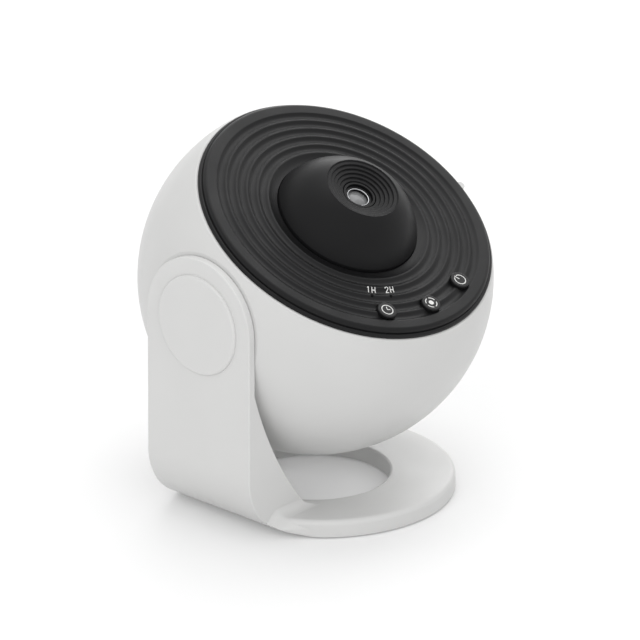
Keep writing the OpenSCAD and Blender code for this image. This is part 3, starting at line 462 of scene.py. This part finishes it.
def rippleTree():
    tree, take = startTree("rippleRing", [
        ("Float", ("Inner Radius", "Outer Radius", "Groove Depth", "Crest Width", "Crest Round")),
        ("Float", ("Top Level", "Inner Rise")),
        ("Int", ("Grooves", "Turn Steps", "Groove Steps")),
        ("Material", ("Finish",)),
    ])
    turns = calc(tree, "ADD", take["Turn Steps"], 1)
    rows = calc(tree, "MULTIPLY_ADD", take["Grooves"], take["Groove Steps"], 1)
    grid = addNode(tree, "GeometryNodeMeshGrid", Size_X=1, Size_Y=1, Vertices_X=turns, Vertices_Y=rows)
    where = addNode(tree, "GeometryNodeInputPosition").outputs[0]
    spot = addNode(tree, "ShaderNodeSeparateXYZ", Vector=where)
    angle = calc(tree, "MULTIPLY", calc(tree, "ADD", spot.outputs[0], 0.5), 2 * math.pi)
    across = calc(tree, "MULTIPLY", calc(tree, "ADD", spot.outputs[1], 0.5), take["Grooves"])
    ring = calc(tree, "FLOOR", across)
    part = calc(tree, "SUBTRACT", across, ring)
    # the first and last step of each groove lie on its crests
    span = calc(tree, "SUBTRACT", take["Outer Radius"], take["Inner Radius"])
    pitch = calc(tree, "DIVIDE", span, take["Grooves"])
    step = calc(tree, "DIVIDE", 1, take["Groove Steps"])
    rest = calc(tree, "SUBTRACT", 1, step)
    flat = calc(tree, "DIVIDE", calc(tree, "DIVIDE", take["Crest Width"], 2), pitch)
    bowl = calc(tree, "SUBTRACT", 1, calc(tree, "MULTIPLY", flat, 2))
    way = calc(tree, "ADD", remap(tree, part, 0, step, 0, flat), remap(tree, part, step, rest, 0, bowl))
    way = calc(tree, "ADD", way, remap(tree, part, rest, 1, 0, flat))
    radius = calc(tree, "MULTIPLY_ADD", calc(tree, "ADD", ring, way), pitch, take["Inner Radius"])
    off = calc(tree, "MULTIPLY", calc(tree, "SUBTRACT", way, 0.5), pitch)
    half = calc(tree, "DIVIDE", calc(tree, "SUBTRACT", pitch, take["Crest Width"]), 2)
    depth = take["Groove Depth"]
    # each valley is an arc through two crests
    squares = calc(tree, "MULTIPLY_ADD", half, half, calc(tree, "MULTIPLY", depth, depth))
    bend = calc(tree, "DIVIDE", squares, calc(tree, "MULTIPLY", depth, 2))
    under = calc(tree, "SUBTRACT", calc(tree, "MULTIPLY", bend, bend), calc(tree, "MULTIPLY", off, off))
    arc = calc(tree, "SQRT", calc(tree, "MAXIMUM", under, 0))
    dip = calc(tree, "MAXIMUM", calc(tree, "SUBTRACT", arc, calc(tree, "SUBTRACT", bend, depth)), 0)
    # the crests are rounded by easing the first of each dip
    ease = take["Crest Round"]

    def eased(fall):
        both = calc(tree, "MULTIPLY_ADD", fall, fall, calc(tree, "MULTIPLY", ease, ease))
        return calc(tree, "SUBTRACT", calc(tree, "SQRT", both), ease)

    dip = calc(tree, "DIVIDE", calc(tree, "MULTIPLY", eased(dip), depth), eased(depth))
    rise = remap(tree, radius, take["Inner Radius"], take["Outer Radius"], take["Inner Rise"], 0)
    level = calc(tree, "SUBTRACT", calc(tree, "ADD", take["Top Level"], rise), dip)
    x = calc(tree, "MULTIPLY", radius, calc(tree, "COSINE", angle))
    y = calc(tree, "MULTIPLY", radius, calc(tree, "SINE", angle))
    at = addNode(tree, "ShaderNodeCombineXYZ", X=x, Y=y, Z=level)
    moved = addNode(tree, "GeometryNodeSetPosition", Geometry=grid.outputs[0], Position=at.outputs[0])
    joined = addNode(tree, "GeometryNodeMergeByDistance", Geometry=moved.outputs[0], Distance=plate["join"])
    return closeTree(tree, joined.outputs[0], take["Finish"])


def collarArc(p):
    c = p["collar"]
    points = []
    for k in range(c["steps"] + 1):
        r = p["boreR"] + (c["endR"] - p["boreR"]) * k / c["steps"]
        points.append((r, c["midLevel"] - math.sqrt(c["curve"] ** 2 - (r - c["midR"]) ** 2)))
    return points


def addHooks(bm, p):
    corners = (
        (p["hookIn"], p["spigotLow"]), (p["hookOut"], p["spigotLow"]),
        (p["hookOut"], p["hookTop"]), (p["hookIn"], p["hookTop"]),
    )
    half = p["hookHalfAngle"]
    for k in range(p["hooks"]):
        middle = (k + 0.5) * 360 / p["hooks"]
        rows = []
        for i in range(p["hookSteps"] + 1):
            turn = middle - half + 2 * half * i / p["hookSteps"]
            rows.append([bm.verts.new((*polar(r, turn), z)) for r, z in corners])
        for one, two in zip(rows, rows[1:]):
            for i in range(4):
                j = (i + 1) % 4
                bm.faces.new((one[i], one[j], two[j], two[i]))
        bm.faces.new(rows[0])
        bm.faces.new(rows[-1])


def makePlate():
    p = plate
    ring = grow("rippleRing", rippleTree(), {
        "Inner Radius": p["innerCrestR"], "Outer Radius": p["outerCrestR"], "Grooves": p["grooves"],
        "Groove Depth": p["grooveDepth"], "Crest Width": p["crestWidth"], "Crest Round": p["crestRound"],
        "Top Level": p["top"], "Inner Rise": p["crestRise"], "Turn Steps": p["turnSteps"],
        "Groove Steps": p["grooveSteps"], "Finish": finish["blackPlate"],
    })
    rim, joint, ledge = ball["rim"], p["marginR"] + p["jointW"], p["ledgeR"] - p["shadowW"]
    inner = p["spigotR"] - p["spigotWall"]
    collar = collarArc(p)
    edge = softProfile([
        (p["outerCrestR"], p["top"]), (p["marginR"], p["top"], p["marginRound"]),
        (p["marginR"], p["ledgeTop"] - p["jointDepth"]), (joint, p["ledgeTop"] - p["jointDepth"]),
        (joint, p["ledgeTop"], p["jointRound"]), (p["ledgeR"], p["ledgeTop"], p["ledgeRound"]),
        (p["ledgeR"], rim + p["shadowH"]), (ledge, rim + p["shadowH"]), (ledge, rim),
        (p["spigotR"], rim), (p["spigotR"], p["spigotLow"], p["spigotRound"]),
        (inner, p["spigotLow"], p["spigotRound"]), (inner, rim),
        (p["boreR"], rim), (*collar[0], p["collar"]["round"]), *collar[1:],
        (p["innerCrestR"], p["top"] + p["crestRise"]),
    ])
    verts, faces = revolve(edge, p["turnSteps"], closed=False)
    bm = bmesh.new()
    bm.from_mesh(ring)
    made = [bm.verts.new(v) for v in verts]
    for face in faces:
        bm.faces.new([made[i] for i in face])
    addHooks(bm, p)
    bmesh.ops.remove_doubles(bm, verts=bm.verts, dist=0.002)
    bmesh.ops.recalc_face_normals(bm, faces=bm.faces)
    mesh = bpy.data.meshes.new("facePlate")
    bm.to_mesh(mesh)
    bm.free()
    obj = addObject("facePlate", mesh)
    below = rim - p["cutBelow"]
    rods = []
    for holes, angles in ((buttons, buttons["angles"].values()), (lights, lights["angles"])):
        rods += [(*polar(holes["circle"], a), holes["hole"], below, p["cutTop"]) for a in angles]
    for k in range(p["screws"]):
        spot = polar(p["screwCircle"], 90 + 360 * k / p["screws"])
        rods.append((*spot, p["screwHoleR"], below, rim + p["screwHoleDepth"]))
    drill(obj, rods)
    obj.data.transform(headPlace)
    softShade(obj, 32)
    return dress(obj, "head", "blackPlate", "black_plastic", "bezel")


facePlate = makePlate()
print("face plate:", len(facePlate.data.polygons), "faces")

# The focusing dome, with a crater that steps down to its opening
domeSize = {
    "radius": 28.9, "centre": 22.4, "skirtR": 26.95, "skirtTop": 32.84, "flangeR": 29.3,
    "flangeLow": 28.3, "flangeTop": 29.1, "craterR": 13.6, "craterTop": 47.9, "craterFloor": 44.4,
    "steps": 5, "openR": 6.4, "roof": 41.9, "boreR": 12.48, "hollowR": 19.5, "hollowTop": 32.9,
    "flangeRound": 0.15, "rimRound": 0.4, "stepRound": 0.16, "stepEdge": 0.3,
    "arcSteps": 48, "turnSteps": 240, "crispFrom": 24,
}


def makeDome():
    d = domeSize
    low = math.asin((d["skirtTop"] - d["centre"]) / d["radius"])
    high = math.acos(d["craterR"] / d["radius"])
    points = [
        (d["flangeR"], d["flangeLow"]), (d["flangeR"], d["flangeTop"], d["flangeRound"]),
        (d["skirtR"], d["flangeTop"]),
    ]
    for k in range(d["arcSteps"]):
        a = low + (high - low) * k / d["arcSteps"]
        points.append((d["radius"] * math.cos(a), d["centre"] + d["radius"] * math.sin(a)))
    points.append((d["craterR"], d["craterTop"], d["rimRound"]))
    width = (d["craterR"] - d["openR"]) / d["steps"]
    drop = (d["craterTop"] - d["craterFloor"]) / d["steps"]
    for k in range(d["steps"]):
        level = d["craterTop"] - drop * (k + 1)
        edge = d["craterR"] - width * k
        points.append((edge, level, d["stepRound"]))
        points.append((edge - width, level, d["stepEdge"]))
    points += [
        (d["openR"], d["roof"]), (d["boreR"], d["roof"]), (d["boreR"], d["hollowTop"]),
        (d["hollowR"], d["hollowTop"]), (d["hollowR"], d["flangeLow"]),
    ]
    obj = turned("focusDome", points, d["turnSteps"], headPlace, angle=d["crispFrom"])
    return dress(obj, "focus_dome", "blackDome", "dome_plastic", "dome")


makeDome()
print("dome and crater are turned")


def makeButton(which):
    b = buttons
    place = headPlace @ Matrix.Translation((*polar(b["circle"], b["angles"][which]), 0))
    obj = turned(which + "Key", [
        (0, b["flangeLow"]), (b["flange"], b["flangeLow"]), (b["flange"], b["flangeTop"], b["flangeRound"]),
        (b["radius"], b["flangeTop"]), (b["radius"], b["top"], b["bevel"]), (0, b["top"]),
    ], b["turnSteps"], place, closed=False)
    return dress(obj, which + "_key", "blackButton", "black_plastic", which + "_button")


# Printed lines; each is a list of points drawn flat, closed if it ends where it starts
def strokes(name, lines, width, lift):
    verts, faces = [], []
    for line in lines:
        closed = len(line) > 2 and math.dist(line[0], line[-1]) < 1e-6
        points = line[:-1] if closed else line
        count = len(points)
        base = len(verts)
        for k, (x, y) in enumerate(points):
            before = points[k - 1] if closed or k > 0 else points[k]
            after = points[(k + 1) % count] if closed or k < count - 1 else points[k]
            dx, dy = after[0] - before[0], after[1] - before[1]
            size = math.hypot(dx, dy) or 1
            nx, ny = -dy / size * width / 2, dx / size * width / 2
            for z in (0, lift):
                verts += [(x + nx, y + ny, z), (x - nx, y - ny, z)]
        for k in range(count if closed else count - 1):
            a, b = base + 4 * k, base + 4 * ((k + 1) % count)
            faces += [
                (a + 2, a + 3, b + 3, b + 2), (a, b, b + 1, a + 1),
                (a, a + 2, b + 2, b), (a + 1, b + 1, b + 3, a + 3),
            ]
        if not closed:
            last = base + 4 * (count - 1)
            faces += [(base, base + 1, base + 3, base + 2), (last, last + 2, last + 3, last + 1)]
    mesh = bpy.data.meshes.new(name)
    mesh.from_pydata(verts, [], faces)
    tidyMesh(mesh, 1e-6)
    return mesh


def arcLine(radius, start, end, steps=28):
    out = [polar(radius, start + (end - start) * k / steps) for k in range(steps + 1)]
    if abs(end - start) == 360:
        out[-1] = out[0]
    return out


# Signs are drawn with up towards the plate's middle
signs = {
    "width": 0.34, "lift": 0.012,
    "power": [arcLine(2.15, 107, 433), [(0, 0.3), (0, 2.45)]],
    "rotate": [
        *[arcLine(r, 0, 360, 20) for r in (0.17, 0.5, 0.83)],
        *[arcLine(2.2, a, a + 66, 10) for a in (12, 102, 192, 282)],
    ],
    "timer": [arcLine(2.15, 0, 360), [(0, 1.45), (0, 0), (1.15, 0)]],
}
glyphs = {
    "1": [[(-0.45, 0.9), (0.15, 1.5), (0.15, -1.5)]],
    "2": [[(-0.85, 0.75), (-0.72, 1.18), (-0.35, 1.45), (0.1, 1.5), (0.55, 1.36), (0.82, 1.0),
           (0.8, 0.55), (0.5, 0.1), (-0.3, -0.7), (-0.85, -1.3), (0.9, -1.3)]],
    "H": [[(-0.85, 1.5), (-0.85, -1.5)], [(0.85, 1.5), (0.85, -1.5)], [(-0.85, 0), (0.85, 0)]],
}
marks = {
    "angles": {"1H": -118.8, "2H": -106.7}, "circle": 36.25, "width": 0.3, "size": 0.74,
    "spacing": 2.15, "lift": 0.02, "sunk": 0.004,
}


def printOn(mesh, body):
    obj = addObject(mesh.name, mesh)
    return dress(obj, body, "inkWhite", "light_pipe")


def makeSign(which):
    mesh = strokes(which + "Sign", signs[which], signs["width"], signs["lift"])
    turn = buttons["angles"][which]
    at = Matrix.Translation((*polar(buttons["circle"], turn), buttons["top"]))
    mesh.transform(headPlace @ at @ Matrix.Rotation(math.radians(turn + 90), 4, "Z"))
    printOn(mesh, which + "_key")


# Level of the plate's ripples at a radius
def onRipple(radius):
    p = plate
    if radius < p["innerCrestR"]:
        return p["top"] + p["crestRise"]
    span, depth, ease = p["outerCrestR"] - p["innerCrestR"], p["grooveDepth"], p["crestRound"]
    pitch = span / p["grooves"]
    half = (pitch - p["crestWidth"]) / 2
    bend = (half ** 2 + depth ** 2) / (2 * depth)
    off = ((radius - p["innerCrestR"]) % pitch) - pitch / 2
    dip = math.sqrt(bend ** 2 - off ** 2) - (bend - depth) if abs(off) < half else 0
    dip = (math.hypot(dip, ease) - ease) * depth / (math.hypot(depth, ease) - ease)
    rise = p["crestRise"] * (p["outerCrestR"] - radius) / span
    return p["top"] + rise - dip


# Cuts a line into short steps, so that it can follow the ripples
def finerLine(line, step=0.12):
    out = [line[0]]
    for a, b in zip(line, line[1:]):
        count = max(1, math.ceil(math.dist(a, b) / step))
        for k in range(1, count + 1):
            out.append((a[0] + (b[0] - a[0]) * k / count, a[1] + (b[1] - a[1]) * k / count))
    return out


# A printed mark laid onto the ripples
def makeMark(text):
    lines, size = [], marks["size"]
    for k, letter in enumerate(text):
        shift = (k - 0.5) * marks["spacing"]
        lines += [finerLine([(px * size + shift, py * size) for px, py in line]) for line in glyphs[letter]]
    mesh = strokes("mark" + text, lines, marks["width"], marks["lift"])
    turn = marks["angles"][text]
    x, y = polar(marks["circle"], turn)
    mesh.transform(Matrix.Translation((x, y, 0)) @ Matrix.Rotation(math.radians(turn + 90), 4, "Z"))
    for v in mesh.vertices:
        v.co.z += onRipple(math.hypot(v.co.x, v.co.y)) - marks["sunk"]
    mesh.transform(headPlace)
    printOn(mesh, "head")


for which in buttons["angles"]:
    makeButton(which)
    makeSign(which)
for text in marks["angles"]:
    makeMark(text)
print("buttons, signs and marks are set")

lens = {
    "radius": 4.4, "low": 40.2, "edge": 1.2, "thick": 2.2,
    "ringIn": 4.1, "ringOut": 5.27, "ringLow": 42.43, "ringTop": 43.0, "ringOuterRound": 0.15,
    "ringInnerRound": 0.2, "beadR": 0.22, "beadRise": 0.3, "beadSteps": 16,
    "chamfer": 0.1, "arcSteps": 18, "turnSteps": 96,
}


def makeLens():
    p = lens
    steps = p["turnSteps"]
    swell = p["thick"] - p["edge"]
    curve = (p["radius"] ** 2 + swell ** 2) / (2 * swell)
    centre = p["low"] + p["thick"] - curve
    profile = [(0, p["low"]), (p["radius"] - p["chamfer"], p["low"]), (p["radius"], p["low"] + p["chamfer"])]
    for k in range(p["arcSteps"], -1, -1):
        a = math.asin(p["radius"] / curve) * k / p["arcSteps"]
        profile.append((curve * math.sin(a), centre + curve * math.cos(a)))
    glass = turned("frontLens", profile, steps, headPlace, closed=False)
    dress(glass, "lens_group", "frontLens", "lens_glass", "front_lens")
    ring = turned("lensRing", [
        (p["ringIn"], p["ringLow"]), (p["ringOut"], p["ringLow"]),
        (p["ringOut"], p["ringTop"], p["ringOuterRound"]), (p["ringIn"], p["ringTop"], p["ringInnerRound"]),
    ], steps, headPlace)
    dress(ring, "lens_group", "blackInner", "steel", "lens_trim")
    # thin bright edge that holds the glass
    circle = []
    for k in range(p["beadSteps"]):
        out, up = polar(p["beadR"], 360 * k / p["beadSteps"])
        circle.append((p["ringIn"] + out, p["ringLow"] + p["beadRise"] + up))
    edge = turned("lensEdge", circle, steps, headPlace, angle=60)
    dress(edge, "lens_group", "brightSteel", "steel")


makeLens()
print("lens is seated")

# Crowned screws with a cross recess, one on each point that the tree is given
baseScrews = {
    "circle": 35.69, "middle": (-3.7, -6.5), "angles": (-80, -20, 40, 95), "seat": 1.4,
    "headR": 2.0, "headH": 0.7, "crown": 0.25, "shankR": 0.97, "shankLen": 2.2,
    "recessLen": 2.0, "recessW": 0.5, "recessDepth": 0.45,
}


def screwTree():
    tree, take = startTree("screwSet", [
        ("Geometry", ("Geometry",)),
        ("Float", ("Head Radius", "Head Height", "Crown", "Shank Radius", "Shank Length")),
        ("Float", ("Recess Length", "Recess Width", "Recess Depth")),
        ("Material", ("Finish",)),
    ])

    def lift(geometry, z):
        at = addNode(tree, "ShaderNodeCombineXYZ", Z=z)
        return addNode(tree, "GeometryNodeTransform", Geometry=geometry, Translation=at.outputs[0]).outputs[0]

    def boolean(operation, first, *others):
        made = addNode(tree, "GeometryNodeMeshBoolean", {"operation": operation, "solver": "EXACT"})
        tree.links.new(first, made.inputs["Mesh 1" if operation == "DIFFERENCE" else "Mesh 2"])
        for other in others:
            tree.links.new(other, made.inputs["Mesh 2"])
        return made.outputs[0]

    headR, headH, crown = take["Head Radius"], take["Head Height"], take["Crown"]
    disc = addNode(tree, "GeometryNodeMeshCylinder", Vertices=40, Radius=headR, Depth=headH)
    # the crown is a ball that meets the head's rim a little below its top
    squares = calc(tree, "MULTIPLY_ADD", headR, headR, calc(tree, "MULTIPLY", crown, crown))
    bend = calc(tree, "DIVIDE", squares, calc(tree, "MULTIPLY", crown, 2))
    orb = addNode(tree, "GeometryNodeMeshUVSphere", Segments=64, Rings=48, Radius=bend)
    head = boolean("INTERSECT", lift(disc.outputs[0], calc(tree, "DIVIDE", headH, 2)),
                   lift(orb.outputs[0], calc(tree, "SUBTRACT", headH, bend)))
    deep = calc(tree, "MULTIPLY", take["Recess Depth"], 2)
    wide = addNode(tree, "ShaderNodeCombineXYZ", X=take["Recess Length"], Y=take["Recess Width"], Z=deep)
    tall = addNode(tree, "ShaderNodeCombineXYZ", X=take["Recess Width"], Y=take["Recess Length"], Z=deep)
    bars = [addNode(tree, "GeometryNodeMeshCube", Size=s.outputs[0]) for s in (wide, tall)]
    head = boolean("DIFFERENCE", head, *[lift(bar.outputs[0], headH) for bar in bars])
    long = take["Shank Length"]
    shank = addNode(tree, "GeometryNodeMeshCylinder", Vertices=24, Radius=take["Shank Radius"], Depth=long)
    shank = lift(shank.outputs[0], calc(tree, "MULTIPLY", long, -0.5))
    whole = addNode(tree, "GeometryNodeJoinGeometry")
    tree.links.new(head, whole.inputs[0])
    tree.links.new(shank, whole.inputs[0])
    spread = addNode(tree, "GeometryNodeInstanceOnPoints", Points=take["Geometry"], Instance=whole.outputs[0])
    return closeTree(tree, spread.outputs[0], take["Finish"])


def makeBaseScrews():
    s = baseScrews
    spots = bpy.data.meshes.new("screwSpots")
    around = [polar(s["circle"], a) for a in s["angles"]]
    # drawn with the heads up, then turned over to point down
    spots.from_pydata([(x + s["middle"][0], -y - s["middle"][1], 0) for x, y in around], [], [])
    mesh = grow("baseScrews", screwTree(), {
        "Head Radius": s["headR"], "Head Height": s["headH"], "Crown": s["crown"],
        "Shank Radius": s["shankR"], "Shank Length": s["shankLen"], "Recess Length": s["recessLen"],
        "Recess Width": s["recessW"], "Recess Depth": s["recessDepth"], "Finish": finish["brightSteel"],
    }, spots)
    flip = Matrix.Translation((0, 0, s["seat"])) @ Matrix.Rotation(math.pi, 4, "X")
    mesh.transform(standPlace @ flip)
    obj = addObject("baseScrews", mesh)
    softShade(obj, 35)
    return dress(obj, "stand", "brightSteel", "steel", "base_screws")


makeBaseScrews()
print("base screws are in")

# The hollow blend where the arm runs into the base: the surface of a rounded union of both, laid
# over the stand and kept only where it stands off the plain shapes
armRoot = {
    "halfWidth": 25.46, "sweepMiddle": (85.1, 101.5), "sweepR": 151, "bendX": -38.4, "bendZ": 24.5,
    "bendR": 23.9, "baseMiddle": (-3.7, -6.5), "baseR": 49, "baseTop": 7, "baseRound": 2,
    "edgeRound": 0.5, "wideBlend": 12, "narrowBlend": 4, "wideTo": 3.5, "narrowFrom": 7.5,
    "holeMiddle": (-6.1, -5), "holeR": 28.9, "step": 0.45, "proud": 0.006, "settleTurns": 6,
    "boxes": (((-63, -52, 0.3), (-26, -24.5, 16)), ((-63, 24.5, 0.3), (-26, 46, 16))),
}


# Signed distance from the blended stand, and from the stand without the blend
def rootField(p):
    a = armRoot
    x, y, z = p[..., 0], p[..., 1], p[..., 2]
    sweep = a["sweepR"] - np.hypot(x - a["sweepMiddle"][0], z - a["sweepMiddle"][1])
    arm = np.maximum(np.abs(y) - a["halfWidth"], sweep)
    r = a["baseRound"]
    out = np.hypot(x - a["baseMiddle"][0], y - a["baseMiddle"][1]) - a["baseR"] + r
    up = z - a["baseTop"] + r
    base = np.minimum(np.maximum(out, up), 0) + np.hypot(np.maximum(out, 0), np.maximum(up, 0)) - r
    plain = np.minimum(arm, base)
    t = np.clip((z - a["wideTo"]) / (a["narrowFrom"] - a["wideTo"]), 0, 1)
    k = a["wideBlend"] + (a["narrowBlend"] - a["wideBlend"]) * t * t * (3 - 2 * t)
    union = np.maximum(k, plain) - np.hypot(np.maximum(k - arm, 0), np.maximum(k - base, 0))
    bend = np.hypot(np.minimum(x - a["bendX"], 0), np.minimum(z - a["bendZ"], 0)) - a["bendR"]
    e = a["edgeRound"]
    edge = np.hypot(np.maximum(union + e, 0), np.maximum(bend + e, 0))
    return np.minimum(-e, np.maximum(union, bend)) + edge, plain


def fieldSlope(p, step=0.01):
    slope = np.zeros_like(p)
    for axis in range(3):
        shift = np.zeros(3)
        shift[axis] = step
        slope[..., axis] = (rootField(p + shift)[0] - rootField(p - shift)[0]) / (2 * step)
    return slope


# A mesh with one point in each grid cell that the surface passes through
def surfaceNet(low, high, step):
    axes = [np.arange(low[i], high[i] + step, step) for i in range(3)]
    grid = np.stack(np.meshgrid(*axes, indexing="ij"), -1)
    solid = rootField(grid)[0] < 0
    nx, ny, nz = (n - 1 for n in solid.shape)
    filled = sum(
        solid[i:i + nx, j:j + ny, k:k + nz].astype(int) for i in (0, 1) for j in (0, 1) for k in (0, 1)
    )
    cells = (filled > 0) & (filled < 8)
    number = -np.ones(cells.shape, int)
    number[cells] = np.arange(cells.sum())
    verts = grid[:nx, :ny, :nz][cells] + step / 2
    faces = []
    for axis in range(3):
        one, two = [i for i in range(3) if i != axis]
        here = np.argwhere(np.diff(solid.astype(int), axis=axis) != 0)
        inside = (here[:, one] > 0) & (here[:, two] > 0)
        inside &= (here[:, one] < cells.shape[one]) & (here[:, two] < cells.shape[two])
        here = here[inside]
        ring = []
        for da, db in ((0, 0), (1, 0), (1, 1), (0, 1)):
            spot = here.copy()
            spot[:, one] -= da
            spot[:, two] -= db
            ring.append(number[spot[:, 0], spot[:, 1], spot[:, 2]])
        faces.append(np.stack(ring, 1))
    return verts, np.concatenate(faces)


def makeArmRoot():
    a = armRoot
    allVerts, allFaces = [], []
    for low, high in a["boxes"]:
        verts, faces = surfaceNet(low, high, a["step"])
        # the points slide down the slope onto the surface
        for turn in range(a["settleTurns"]):
            value, slope = rootField(verts)[0], fieldSlope(verts)
            verts = verts - slope * (value / np.maximum((slope ** 2).sum(-1), 0.05))[:, None]
        fromHole = np.hypot(verts[:, 0] - a["holeMiddle"][0], verts[:, 1] - a["holeMiddle"][1])
        stands = (rootField(verts)[1] > a["proud"]) & (fromHole > a["holeR"])
        faces = faces[stands[faces].all(1)]
        allFaces.append(faces + sum(len(v) for v in allVerts))
        allVerts.append(verts)
    verts, faces = np.concatenate(allVerts), np.concatenate(allFaces)
    normals = fieldSlope(verts)
    normals /= np.linalg.norm(normals, axis=1)[:, None]
    # each face is wound so that it points the way the surface does
    corner = verts[faces]
    facing = np.cross(corner[:, 2] - corner[:, 0], corner[:, 3] - corner[:, 1])
    back = (facing * normals[faces[:, 0]]).sum(1) < 0
    faces[back] = faces[back][:, ::-1]
    used, faces = np.unique(faces, return_inverse=True)
    faces = faces.reshape(-1, 4)
    mesh = bpy.data.meshes.new("armRoot")
    mesh.from_pydata(verts[used].tolist(), [], faces.tolist())
    mesh.transform(standPlace)
    mesh.shade_smooth()
    mesh.normals_split_custom_set_from_vertices(normals[used].tolist())
    return dress(addObject("armRoot", mesh), "stand", "whiteStand", "white_plastic")


root = makeArmRoot()
print("arm root:", len(root.data.polygons), "faces")
